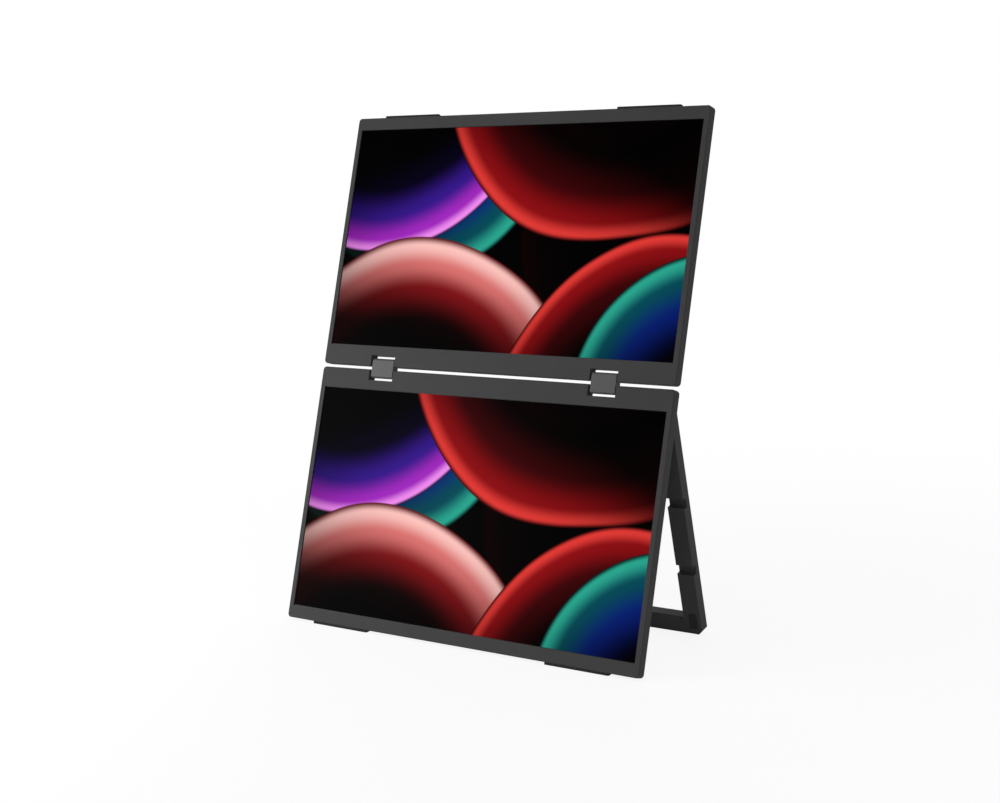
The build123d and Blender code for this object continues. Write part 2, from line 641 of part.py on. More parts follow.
    # Screws that close the casing, from the back
    with BuildPart() as case_screws:
        with BuildSketch(SCREEN.offset(-HEAD_SEAT_D)):
            with Locations(*case_screw_places(side)):
                Circle(CASE_HEAD_R)
        extrude(amount=-CASE_HEAD_T)
        with BuildSketch(SCREEN.offset(-HEAD_SEAT_D)):
            with Locations(*case_screw_places(side)):
                Circle(CASE_SCREW_R)
        extrude(amount=HEAD_SEAT_D - SPLIT_D + CASE_SCREW_BITE - CASE_TIP_GAP)
        cross_recess(SCREEN.offset(-HEAD_SEAT_D - CASE_HEAD_T), case_screw_places(side), CASE_HEAD_R)
    case_screws.part.label = f"{name}_case_screws"
    export_step(case_screws.part, f"parts/{name}_case_screws.step")

    # Countersunk screws through the rear cover into the hinge brackets
    with BuildPart() as bracket_screws:
        with BuildSketch(SCREEN.offset(-PANEL_T)):
            with Locations(*bracket_screw_places(side)):
                Circle(COUNTERSINK_R)
        extrude(amount=COUNTERSINK_DEPTH, taper=45)
        with BuildSketch(SCREEN.offset(-PANEL_T + COUNTERSINK_DEPTH)):
            with Locations(*bracket_screw_places(side)):
                Circle(BRACKET_SCREW_R)
        extrude(amount=BRACKET_SCREW_LEN - COUNTERSINK_DEPTH)
        cross_recess(SCREEN.offset(-PANEL_T), bracket_screw_places(side), COUNTERSINK_R)
    bracket_screws.part.label = f"{name}_bracket_screws"
    export_step(bracket_screws.part, f"parts/{name}_bracket_screws.step")

for turn, hand in SIDES:
    # Hinge block: one round-ended link with a bore for each screen's pin
    block_start = turn * HINGE_X - BLOCK_W / 2
    with BuildPart() as block:
        with BuildSketch(SIDE.offset(block_start)):
            with Locations((AXIS_D, 0)):
                RectangleRounded(BLOCK_T, BLOCK_H, BLOCK_R)
        extrude(amount=BLOCK_W)
        fillet(block.faces().filter_by(Axis.X).edges(), BLOCK_END_R)
        with BuildSketch(SIDE.offset(block_start)):
            with Locations((AXIS_D, -AXIS_V), (AXIS_D, AXIS_V)):
                Circle(BUSH_R + SEAT_FIT)
        extrude(amount=BLOCK_W, mode=Mode.SUBTRACT)
    block.part.label = f"hinge_block_{hand}"
    export_step(block.part, f"parts/hinge_block_{hand}.step")

    # Bushes at both ends of each bore
    with BuildPart() as bushes:
        with BuildSketch(SIDE.offset(block_start), SIDE.offset(block_start + BLOCK_W - BUSH_LEN)):
            with Locations((AXIS_D, -AXIS_V), (AXIS_D, AXIS_V)):
                Circle(BUSH_R)
                Circle(PIN_R + RUN_FIT, mode=Mode.SUBTRACT)
        extrude(amount=BUSH_LEN)
    bushes.part.label = f"hinge_bushes_{hand}"
    export_step(bushes.part, f"parts/hinge_bushes_{hand}.step")

# Main board in the housing, with its chips on the back
with BuildPart() as main_board:
    with BuildSketch(SCREEN.offset(-BOARD_FRONT_D)):
        with Locations((0, BOARD_MID_V)):
            Rectangle(BOARD_W, BOARD_H)
        with Locations(*board_screw_places()):
            Circle(BOARD_SCREW_R + FIT, mode=Mode.SUBTRACT)
    extrude(amount=-BOARD_T)
    with BuildSketch(SCREEN.offset(-BOARD_BACK_D)):
        with Locations((0, BOARD_MID_V)):
            with GridLocations(CHIP_W * 2, 0, 2, 1):
                Rectangle(CHIP_W, CHIP_W)
    extrude(amount=-CHIP_T)
main_board.part.label = "main_board"
export_step(main_board.part, "parts/main_board.step")

# Tinplate shield over the chips
with BuildPart() as board_shield:
    with BuildSketch(SCREEN.offset(-BOARD_BACK_D)):
        with Locations((0, BOARD_MID_V)):
            Rectangle(SHIELD_W, SHIELD_H)
    extrude(amount=-SHIELD_T)
    with BuildSketch(SCREEN.offset(-BOARD_BACK_D)):
        with Locations((0, BOARD_MID_V)):
            Rectangle(SHIELD_W - 2 * SHIELD_WALL, SHIELD_H - 2 * SHIELD_WALL)
    extrude(amount=SHIELD_WALL - SHIELD_T, mode=Mode.SUBTRACT)
board_shield.part.label = "board_shield"
export_step(board_shield.part, "parts/board_shield.step")

# Screws that hold the board to the posts of the housing
with BuildPart() as board_screws:
    with BuildSketch(SCREEN.offset(-BOARD_FRONT_D)):
        with Locations(*board_screw_places()):
            Circle(BOARD_HEAD_R)
    extrude(amount=BOARD_HEAD_T)
    with BuildSketch(SCREEN.offset(-BOARD_FRONT_D)):
        with Locations(*board_screw_places()):
            Circle(BOARD_SCREW_R)
    extrude(amount=CASE_TIP_GAP - BOARD_T - BOARD_SCREW_BITE)
board_screws.part.label = "board_screws"
export_step(board_screws.part, "parts/board_screws.step")

# Two oval inlets with a contact tongue, in the right wall of the housing
with BuildPart() as usb_c_sockets:
    usb_mouth = SIDE.offset(HOUSING_W / 2 - SOCKET_LIP)
    usb_places = [(BOARD_BACK_D + USB_T / 2, v) for v in PORT_DROPS]
    with BuildSketch(usb_mouth):
        with Locations(*usb_places):
            SlotOverall(USB_W, USB_T, rotation=90)
    extrude(amount=-USB_LEN)
    with BuildSketch(usb_mouth):
        with Locations(*usb_places):
            SlotOverall(USB_W - 2 * SOCKET_SHELL, USB_T - 2 * SOCKET_SHELL, rotation=90)
    extrude(amount=SOCKET_FLOOR - USB_LEN, mode=Mode.SUBTRACT)
    with BuildSketch(usb_mouth.offset(-TONGUE_SHY)):
        with Locations(*usb_places):
            Rectangle(TONGUE_T, USB_W - 2 * TONGUE_SIDE)
    extrude(amount=TONGUE_SHY - USB_LEN + SOCKET_FLOOR)
usb_c_sockets.part.label = "usb_c_sockets"
export_step(usb_c_sockets.part, "parts/usb_c_sockets.step")

# One flat video inlet in the left wall of the housing
with BuildPart() as hdmi_socket:
    hdmi_mouth = SIDE.offset(SOCKET_LIP - HOUSING_W / 2)
    hdmi_place = (BOARD_BACK_D + HDMI_T / 2, PORT_DROPS[0])
    with BuildSketch(hdmi_mouth):
        with Locations(hdmi_place):
            Rectangle(HDMI_T, HDMI_W)
    extrude(amount=HDMI_LEN)
    with BuildSketch(hdmi_mouth):
        with Locations(hdmi_place):
            Rectangle(HDMI_T - 2 * SOCKET_SHELL, HDMI_W - 2 * SOCKET_SHELL)
    extrude(amount=HDMI_LEN - SOCKET_FLOOR, mode=Mode.SUBTRACT)
    with BuildSketch(hdmi_mouth.offset(TONGUE_SHY)):
        with Locations(hdmi_place):
            Rectangle(TONGUE_T, HDMI_W - 2 * TONGUE_SIDE)
    extrude(amount=HDMI_LEN - SOCKET_FLOOR - TONGUE_SHY)
hdmi_socket.part.label = "hdmi_socket"
export_step(hdmi_socket.part, "parts/hdmi_socket.step")

for turn, hand in SIDES:
    # Flat speaker against the grille, with its magnet at the back
    speaker_place = (turn * SPEAKER_X, HOUSING_TOP_V - SPEAKER_DROP)
    with BuildPart() as speaker:
        with BuildSketch(SCREEN.offset(-HOUSING_INNER_D)):
            with Locations(speaker_place):
                RectangleRounded(SPEAKER_W, SPEAKER_H, SPEAKER_R)
        extrude(amount=SPEAKER_T)
        with BuildSketch(SCREEN.offset(-HOUSING_INNER_D + SPEAKER_T)):
            with Locations(speaker_place):
                Circle(MAGNET_R)
        extrude(amount=MAGNET_T)
    speaker.part.label = f"speaker_{hand}"
    export_step(speaker.part, f"parts/speaker_{hand}.step")

# Key board behind the buttons: three side-push switches on a narrow strip
WALL_IN_U = -(PANEL_W / 2 - SIDE_WALL)
SWITCH_FACE_U = WALL_IN_U + FLANGE_T + BUTTON_TRAVEL + SWITCH_GAP
with BuildPart() as key_board:
    with BuildSketch(SCREEN.offset(-INNER_BACK_D)):
        with Locations((SWITCH_FACE_U + KEY_BOARD_W / 2, BUTTON_PLACES[1])):
            Rectangle(KEY_BOARD_W, 2 * (BUTTON_PITCH + KEY_BOARD_MARGIN))
    extrude(amount=KEY_BOARD_T)
    with BuildSketch(SCREEN.offset(-INNER_BACK_D + KEY_BOARD_T)):
        with Locations(*[(SWITCH_FACE_U + SWITCH_W / 2, v) for v in BUTTON_PLACES]):
            Rectangle(SWITCH_W, SWITCH_LEN)
    extrude(amount=SWITCH_T)
key_board.part.label = "key_board"
export_step(key_board.part, "parts/key_board.step")

for place, name in zip(BUTTON_PLACES, ("power_button", "menu_up_button", "menu_down_button")):
    # Round-ended button with a flange that keeps it behind the wall
    with BuildPart() as button:
        with BuildSketch(SIDE.offset(-PANEL_W / 2 - BUTTON_PROUD)):
            with Locations((BUTTON_D, place)):
                SlotOverall(BUTTON_LEN, BUTTON_T, rotation=90)
        extrude(amount=BUTTON_PROUD + SIDE_WALL)
        fillet(button.faces().sort_by(Axis.X)[0].edges(), BUTTON_EDGE_R)
        with BuildSketch(SIDE.offset(WALL_IN_U)):
            with Locations((BUTTON_D, place)):
                Rectangle(BUTTON_T, FLANGE_LEN)
        extrude(amount=FLANGE_T)
    button.part.label = name
    export_step(button.part, f"parts/{name}.step")

for turn, hand in SIDES:
    # Stand mount: a plate on the rear cover with a round-nosed lug for the pin
    plate_mid_u = LUG_OUT_U - MOUNT_W / 2
    with BuildPart() as mount:
        with BuildSketch(SCREEN.offset(-PANEL_T)):
            with Locations((turn * plate_mid_u, STAND_AXIS_V)):
                RectangleRounded(MOUNT_W, MOUNT_H, MOUNT_R)
            with Locations(*mount_screw_places()):
                Circle(MOUNT_SCREW_R + FIT, mode=Mode.SUBTRACT)
        extrude(amount=-MOUNT_T)
        with BuildSketch(SIDE.offset(turn * LUG_IN_U)):
            with Locations((STAND_AXIS_D, STAND_AXIS_V)):
                Circle(LUG_R)
            with Locations(((PANEL_T + STAND_AXIS_D) / 2, STAND_AXIS_V)):
                Rectangle(STAND_AXIS_D - PANEL_T, 2 * LUG_R)
        extrude(amount=turn * LUG_W)
        with BuildSketch(SIDE.offset(turn * LUG_IN_U)):
            with Locations((STAND_AXIS_D, STAND_AXIS_V)):
                Circle(STAND_PIN_R + SEAT_FIT)
        extrude(amount=turn * LUG_W, mode=Mode.SUBTRACT)
    mount.part.label = f"stand_mount_{hand}"
    export_step(mount.part, f"parts/stand_mount_{hand}.step")

    # Headed pin, fast in the lug and free in the leg
    with BuildPart() as stand_pin:
        with BuildSketch(SIDE.offset(turn * LUG_IN_U)):
            with Locations((STAND_AXIS_D, STAND_AXIS_V)):
                Circle(STAND_PIN_HEAD_R)
        extrude(amount=-turn * STAND_PIN_HEAD_T)
        with BuildSketch(SIDE.offset(turn * LUG_IN_U)):
            with Locations((STAND_AXIS_D, STAND_AXIS_V)):
                Circle(STAND_PIN_R)
        extrude(amount=turn * (LUG_W + MOUNT_GAP + STAND_PIN_REACH))
    stand_pin.part.label = f"stand_pin_{hand}"
    export_step(stand_pin.part, f"parts/stand_pin_{hand}.step")

# Screws of both stand mounts
with BuildPart() as mount_screws:
    with BuildSketch(SCREEN.offset(-PANEL_T - MOUNT_T)):
        with Locations(*mount_screw_places()):
            Circle(MOUNT_HEAD_R)
    extrude(amount=-MOUNT_HEAD_T)
    with BuildSketch(SCREEN.offset(-PANEL_T - MOUNT_T)):
        with Locations(*mount_screw_places()):
            Circle(MOUNT_SCREW_R)
    extrude(amount=PANEL_T + MOUNT_T - TRAY_BACK_D - MOUNT_BOSS_GAP - CASE_TIP_GAP)
    cross_recess(SCREEN.offset(-PANEL_T - MOUNT_T - MOUNT_HEAD_T), mount_screw_places(), MOUNT_HEAD_R)
mount_screws.part.label = "stand_mount_screws"
export_step(mount_screws.part, "parts/stand_mount_screws.step")

# Stand frame: two round-topped legs and a crossbar, cut flat where it stands on the table
half_w = STAND_W / 2
sole_spare = STAND_T
with BuildPart() as stand_frame:
    with BuildSketch(STAND.offset(STAND_T / 2)):
        with BuildLine():
            Polyline(
                (0, -STAND_LEN + CROSSBAR_H),
                (LEG_IN_U, -STAND_LEN + CROSSBAR_H),
                (LEG_IN_U, 0),
                (half_w, 0),
                (half_w, -STAND_LEN + TOE_CHAMFER),
                (half_w - TOE_CHAMFER - sole_spare, -STAND_LEN - sole_spare),
                (0, -STAND_LEN - sole_spare),
                close=True,
            )
        make_face()
        mirror(about=Plane.YZ)
    extrude(amount=-STAND_T)
    with BuildSketch(STAND_SIDE.offset(-half_w), STAND_SIDE.offset(LEG_IN_U)):
        Circle(STAND_T / 2)
    extrude(amount=LEG_W)
    split(bisect_by=Plane.XY, keep=Keep.TOP)
    corner_edges = stand_frame.edges().filter_by(STAND_FRONTWARD)
    fillet(corner_edges.sort_by(Axis.Z)[-2:], STAND_CORNER_R)
    rims = stand_frame.faces().filter_by(STAND_FRONTWARD).edges()
    fillet(rims.filter_by(Axis(STAND.origin, STAND.y_dir)), STAND_EDGE_R)
    with BuildSketch(STAND_SIDE.offset(-half_w)):
        with Locations(*[(-STAND_T / 2, -drop) for drop in GROOVE_DROPS]):
            RectangleRounded(2 * GROOVE_DEPTH, GROOVE_H, GROOVE_R)
    extrude(amount=STAND_W, mode=Mode.SUBTRACT)
    with BuildSketch(STAND_SIDE.offset(LEG_IN_U)):
        Circle(STAND_BUSH_R + SEAT_FIT)
    extrude(amount=STAND_PIN_REACH + STAND_BORE_SPARE, mode=Mode.SUBTRACT)
    with BuildSketch(STAND_SIDE.offset(-LEG_IN_U)):
        Circle(STAND_BUSH_R + SEAT_FIT)
    extrude(amount=-STAND_PIN_REACH - STAND_BORE_SPARE, mode=Mode.SUBTRACT)
    pad_u = half_w - PAD_INSET
    pad_y = -STAND_LEN + PAD_RISE
    with BuildSketch(STAND.offset(STAND_T / 2)):
        with Locations((-pad_u, pad_y), (pad_u, pad_y)):
            RectangleRounded(PAD_W + 2 * FIT, PAD_H + 2 * FIT, PAD_R + FIT)
    extrude(amount=PAD_PROUD - PAD_T, mode=Mode.SUBTRACT)
    with BuildSketch(STAND.offset(STAND_T / 2)):
        pip_y = -STAND_LEN + CROSSBAR_H - PIP_BELOW
        pip_u = LEG_IN_U - PIP_INSET
        with Locations((-pip_u, pip_y), (pip_u, pip_y)):
            Circle(PIP_R)
    extrude(amount=-PIP_DEPTH, mode=Mode.SUBTRACT)
stand_frame.part.label = "stand_frame"
export_step(stand_frame.part, "parts/stand_frame.step")

# Bushes in the blind bores at the tops of the legs
with BuildPart() as stand_bushes:
    with BuildSketch(STAND_SIDE.offset(LEG_IN_U), STAND_SIDE.offset(-LEG_IN_U - STAND_PIN_REACH)):
        Circle(STAND_BUSH_R)
        Circle(STAND_PIN_R + RUN_FIT, mode=Mode.SUBTRACT)
    extrude(amount=STAND_PIN_REACH)
stand_bushes.part.label = "stand_bushes"
export_step(stand_bushes.part, "parts/stand_bushes.step")

for turn, hand in SIDES:
    # Rubber pad at the toe of each leg, which meets the rear cover when the stand is folded
    with BuildPart() as pad:
        with BuildSketch(STAND.offset(STAND_T / 2 + PAD_PROUD)):
            with Locations((turn * pad_u, pad_y)):
                RectangleRounded(PAD_W, PAD_H, PAD_R)
        extrude(amount=-PAD_T)
    pad.part.label = f"stand_pad_{hand}"
    export_step(pad.part, f"parts/stand_pad_{hand}.step")
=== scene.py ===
"""Looks of a dual portable monitor: its finishes, lit displays and small fittings, the studio and the camera.

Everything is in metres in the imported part's frame: X to the viewer's right, the screens face -Y, +Z up.
"""

import json
import logging
import math
from collections.abc import Mapping, Sequence
from dataclasses import dataclass
from enum import Enum
from typing import Any

import bmesh
import bpy
from mathutils import Matrix, Vector


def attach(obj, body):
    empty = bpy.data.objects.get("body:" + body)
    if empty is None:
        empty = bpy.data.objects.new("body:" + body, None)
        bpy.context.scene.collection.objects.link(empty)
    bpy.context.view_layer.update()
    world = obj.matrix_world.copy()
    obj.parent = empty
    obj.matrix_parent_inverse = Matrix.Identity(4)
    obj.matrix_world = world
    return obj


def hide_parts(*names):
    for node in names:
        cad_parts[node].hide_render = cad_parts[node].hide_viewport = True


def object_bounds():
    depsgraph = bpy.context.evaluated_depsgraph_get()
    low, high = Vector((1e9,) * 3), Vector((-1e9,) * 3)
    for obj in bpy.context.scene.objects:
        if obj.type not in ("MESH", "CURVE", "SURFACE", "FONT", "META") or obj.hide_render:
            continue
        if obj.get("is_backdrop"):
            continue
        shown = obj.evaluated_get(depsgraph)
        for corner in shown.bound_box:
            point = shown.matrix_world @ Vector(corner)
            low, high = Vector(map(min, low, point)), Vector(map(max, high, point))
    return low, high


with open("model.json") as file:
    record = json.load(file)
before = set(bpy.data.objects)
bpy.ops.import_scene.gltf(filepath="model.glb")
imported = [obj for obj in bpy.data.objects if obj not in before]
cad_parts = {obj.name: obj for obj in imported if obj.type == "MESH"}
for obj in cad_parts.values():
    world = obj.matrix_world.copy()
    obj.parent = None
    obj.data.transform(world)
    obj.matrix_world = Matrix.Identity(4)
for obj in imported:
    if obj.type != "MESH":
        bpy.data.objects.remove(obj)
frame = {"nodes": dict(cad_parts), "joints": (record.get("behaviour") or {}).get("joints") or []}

LOG = logging.getLogger("dual_monitor")
MM = 0.001
Colour = tuple[float, float, float, float]

# Sockets of Blender's Mix node when it mixes colours, which share their names with other sockets
MIX_FACTOR, MIX_A, MIX_B, MIX_RESULT = 0, 6, 7, 2

# Octaves of the noises: soft clouds, a mould's grain and a tool's lines
CLOUD_DETAIL, GRAIN_DETAIL, LINE_DETAIL = 4.0, 2.0, 3.0
# A noise stays about between these values
NOISE_LOW, NOISE_HIGH = 0.3, 0.7
# How strongly a relief shows on moulded, worked and printed surfaces
MOULD_RELIEF, TOOL_RELIEF, PRINT_RELIEF = 0.35, 0.3, 0.4
WHITE: Colour = (1.0, 1.0, 1.0, 1.0)


class Side(Enum):
    """Which screen: the sign of its direction from the slit between the two."""

    LOWER = -1
    UPPER = 1

    @property
    def word(self) -> str:
        """The screen's word in the names of its pieces."""
        return self.name.lower()

    @property
    def body(self) -> str:
        """The CAD body that the screen's pieces ride on."""
        return f"{self.word}_monitor"


def linear(colour: str) -> Colour:
    """Turn an sRGB hex colour into linear light.

    Args:
        colour: Six hex digits after a hash sign.

    Returns:
        Red, green, blue and a full alpha.
    """
    channels = [int(colour[start : start + 2], 16) / 255 for start in (1, 3, 5)]
    red, green, blue = (c / 12.92 if c <= 0.04045 else ((c + 0.055) / 1.055) ** 2.4 for c in channels)
    return red, green, blue, 1.0


def per_metre(size_mm: float) -> float:
    """Texture scale at which one feature is so many millimetres wide."""
    return 1 / (size_mm * MM)


def add_node(
    tree: bpy.types.NodeTree,
    kind: str,
    inputs: Mapping[str | int, Any] | None = None,
    stops: Sequence[tuple[float, str]] = (),
    **settings: Any,
) -> bpy.types.Node:
    """Add a node with its settings, and set or link its inputs.

    Args:
        tree: The node tree that gets the node.
        kind: Blender's name for the type of node.
        inputs: A value, or the output socket to link, for each input by name or number.
        stops: Place and hex colour of each stop of a colour ramp.
        **settings: Attributes of the node itself.

    Returns:
        The new node.
    """
    node = tree.nodes.new(kind)
    for key, value in settings.items():
        setattr(node, key, value)
    for key, value in (inputs or {}).items():
        if isinstance(value, bpy.types.NodeSocket):
            tree.links.new(value, node.inputs[key])
        else:
            node.inputs[key].default_value = value
    for index, (place, colour) in enumerate(stops):
        if index == len(node.color_ramp.elements):
            node.color_ramp.elements.new(place)
        node.color_ramp.elements[index].position = place
        node.color_ramp.elements[index].color = linear(colour)
    return node


@dataclass(frozen=True)
class Finish:
    """A surface finish: one Blender material, made when the first piece wears it."""

    name: str

    def material(self) -> bpy.types.Material:
        """Give the finish's material, and make it the first time."""
        found = bpy.data.materials.get(self.name)
        if found is not None:
            return found
        made = bpy.data.materials.new(self.name)
        made.use_nodes = True
        tree = made.node_tree
        tree.nodes.clear()
        shader = add_node(tree, "ShaderNodeBsdfPrincipled")
        add_node(tree, "ShaderNodeOutputMaterial", {"Surface": shader.outputs["BSDF"]})
        self.lay(tree, shader)
        return made

    def lay(self, tree: bpy.types.NodeTree, shader: bpy.types.Node) -> None:
        """Add the finish's own nodes; each kind of finish has its own way."""
        raise NotImplementedError


@dataclass(frozen=True)
class MouldedPlastic(Finish):
    """Moulded plastic or rubber: a fine eroded grain, faint cloudiness and slightly uneven gloss.

    Attributes:
        colour: The darker colour of its clouds.
        cloud: The lighter colour of its clouds.
        roughness: Its middle roughness.
        gloss_spread: How far the roughness strays from that.
        specular: Strength of its shine.
        grain_mm: Size of the grain. The real grain is about 0.1 mm: it is drawn coarser, or it would blur.
        grain_depth_mm: Depth of the grain.
        cloud_mm: Size of the clouds.
        cloud_stops: Values of the clouds' noise that have the two colours.
    """

    colour: str
    cloud: str
    roughness: float
    gloss_spread: float = 0.06
    specular: float = 0.22
    grain_mm: float = 0.7
    grain_depth_mm: float = 0.02
    cloud_mm: float = 45.0
    cloud_stops: tuple[float, float] = (0.35, 0.68)

    def lay(self, tree: bpy.types.NodeTree, shader: bpy.types.Node) -> None:
        """Cloud the colour, break up the gloss and raise the mould's grain."""
        place = add_node(tree, "ShaderNodeTexCoord").outputs["Object"]
        clouds = add_node(
            tree,
            "ShaderNodeTexNoise",
            {"Vector": place, "Scale": per_metre(self.cloud_mm), "Detail": CLOUD_DETAIL},
        )
        tint = add_node(
            tree,
            "ShaderNodeValToRGB",
            {"Fac": clouds.outputs["Fac"]},
            stops=tuple(zip(self.cloud_stops, (self.colour, self.cloud))),
        )
        rubbed = add_node(
            tree,
            "ShaderNodeMapRange",
            {
                "Value": clouds.outputs["Fac"],
                "From Min": NOISE_LOW,
                "From Max": NOISE_HIGH,
                "To Min": self.roughness - self.gloss_spread,
                "To Max": self.roughness + self.gloss_spread,
            },
        )
        grain = add_node(
            tree,
            "ShaderNodeTexNoise",
            {"Vector": place, "Scale": per_metre(self.grain_mm), "Detail": GRAIN_DETAIL},
        )
        relief = add_node(
            tree,
            "ShaderNodeBump",
            {
                "Strength": MOULD_RELIEF,
                "Distance": self.grain_depth_mm * MM,
                "Height": grain.outputs["Fac"],
            },
        )
        shader.inputs["Specular IOR Level"].default_value = self.specular
        tree.links.new(tint.outputs["Color"], shader.inputs["Base Color"])
        tree.links.new(rubbed.outputs["Result"], shader.inputs["Roughness"])
        tree.links.new(relief.outputs["Normal"], shader.inputs["Normal"])


@dataclass(frozen=True)
class WorkedMetal(Finish):
    """Bare metal with the lines of the tool that made it, drawn out along X.

    Attributes:
        colour: Colour between the lines.
        shade: Colour of the lines.
        roughness: Its middle roughness.
        line_mm: Width of a line. Real lines are finer: they are drawn coarser, or they would blur.
        line_length_mm: Length of a line.
        line_depth_mm: Depth of a line.
        wear: Share by which the roughness strays from its middle.
    """

    colour: str
    shade: str
    roughness: float
    line_mm: float = 0.35
    line_length_mm: float = 12.0
    line_depth_mm: float = 0.01
    wear: float = 0.2

    def lay(self, tree: bpy.types.NodeTree, shader: bpy.types.Node) -> None:
        """Stretch a noise into tool lines for tone, gloss and relief."""
        place = add_node(tree, "ShaderNodeTexCoord").outputs["Object"]
        across, along = per_metre(self.line_mm), per_metre(self.line_length_mm)
        drawn = add_node(
            tree, "ShaderNodeVectorMath", {0: place, 1: (along, across, across)}, operation="MULTIPLY"
        )
        lines = add_node(
            tree,
            "ShaderNodeTexNoise",
            {"Vector": drawn.outputs["Vector"], "Scale": 1.0, "Detail": LINE_DETAIL},
        )
        tint = add_node(
            tree,
            "ShaderNodeValToRGB",
            {"Fac": lines.outputs["Fac"]},
            stops=((NOISE_LOW, self.shade), (NOISE_HIGH, self.colour)),
        )
        worn = add_node(
            tree,
            "ShaderNodeMapRange",
            {
                "Value": lines.outputs["Fac"],
                "To Min": self.roughness * (1 - self.wear),
                "To Max": self.roughness * (1 + self.wear),
            },
        )
        relief = add_node(
            tree,
            "ShaderNodeBump",
            {
                "Strength": TOOL_RELIEF,
                "Distance": self.line_depth_mm * MM,
                "Height": lines.outputs["Fac"],
            },
        )
        shader.inputs["Metallic"].default_value = 1.0
        tree.links.new(tint.outputs["Color"], shader.inputs["Base Color"])
        tree.links.new(worn.outputs["Result"], shader.inputs["Roughness"])
        tree.links.new(relief.outputs["Normal"], shader.inputs["Normal"])


@dataclass(frozen=True)
class PrintedSheet(Finish):
    """A flat sheet with a repeated print: conductors, traces or light dots on a ground colour.

    Attributes:
        ground: Colour of the sheet.
        mark: Colour of the print.
        pitch_mm: Distance between the marks.
        mark_share: Reach of a mark as a share of the pitch.
        roughness: Its roughness.
        unevenness: How far the marks stray from a grid, from 0 to 1.
        soft_share: Where a mark starts to fade, as a share of its reach.
        print_mm: Height of the print.
    """

    ground: str
    mark: str
    pitch_mm: float
    mark_share: float
    roughness: float
    unevenness: float = 0.35
    soft_share: float = 0.8
    print_mm: float = 0.03

    def lay(self, tree: bpy.types.NodeTree, shader: bpy.types.Node) -> None:
        """Print cells of the sheet's pitch on the ground colour, slightly raised."""
        place = add_node(tree, "ShaderNodeTexCoord").outputs["Object"]
        cells = add_node(
            tree,
            "ShaderNodeTexVoronoi",
            {"Vector": place, "Scale": per_metre(self.pitch_mm), "Randomness": self.unevenness},
            distance="CHEBYCHEV",
        )
        marks = add_node(
            tree,
            "ShaderNodeMapRange",
            {
                "Value": cells.outputs["Distance"],
                "From Min": self.mark_share,
                "From Max": self.mark_share * self.soft_share,
            },
        )
        tint = add_node(
            tree,
            "ShaderNodeMix",
            {MIX_FACTOR: marks.outputs["Result"], MIX_A: linear(self.ground), MIX_B: linear(self.mark)},
            data_type="RGBA",
        )
        relief = add_node(
            tree,
            "ShaderNodeBump",
            {
                "Strength": PRINT_RELIEF,
                "Distance": self.print_mm * MM,
                "Height": marks.outputs["Result"],
            },
        )
        shader.inputs["Roughness"].default_value = self.roughness
        tree.links.new(tint.outputs[MIX_RESULT], shader.inputs["Base Color"])
        tree.links.new(relief.outputs["Normal"], shader.inputs["Normal"])


@dataclass(frozen=True)
class Petal:
    """One round shape of the picture on the displays.

    Attributes:
        centre_mm: Its middle, from the lower left corner of the lit area.
        radius_mm: Its size.
        depth_mm: How far its glow reaches in from the rim.
        glow: Colours from the rim inwards, with their places from 0 to 1.
        lit_from_deg: The direction in which its rim is brightest, anticlockwise from the right.
        edge_mm: Width of its soft rim.
        lit_from: Cosine of the angle from that direction at which the rim starts to shine.
        dim: What is left of the glow on its dark side.
    """

    centre_mm: tuple[float, float]
    radius_mm: float
    depth_mm: float
    glow: tuple[tuple[float, str], ...]
    lit_from_deg: float
    edge_mm: float = 1.2
    lit_from: float = 0.45
    dim: float = 0.02


# Colours of the picture from a petal's rim inwards: a thin bright fold, then a long fall into black
CRIMSON = (
    (0.0, "#2a0304"),
    (0.035, "#e03a35"),
    (0.12, "#8f0f14"),
    (0.32, "#45060a"),
    (0.55, "#180203"),
    (0.7, "#360508"),
    (0.86, "#0a0101"),
    (1.0, "#000000"),
)
ROSE = (
    (0.0, "#5a0c10"),
    (0.06, "#ffc4be"),
    (0.2, "#e77a77"),
    (0.38, "#9c1a20"),
    (0.65, "#280406"),
    (1.0, "#000000"),
)
MAGENTA = (
    (0.0, "#1c0628"),
    (0.035, "#f08cf0"),
    (0.13, "#a32ac0"),
    (0.34, "#3c1c96"),
    (0.62, "#0c0424"),
    (1.0, "#000000"),
)
LAGOON = (
    (0.0, "#021418"),
    (0.05, "#2aa58e"),
    (0.2, "#07505e"),
    (0.44, "#102c96"),
    (0.74, "#050b26"),
    (1.0, "#000000"),
)
EMBER = ((0.0, "#140203"), (0.05, "#6a0e12"), (0.25, "#340406"), (0.6, "#0c0102"), (1.0, "#000000"))


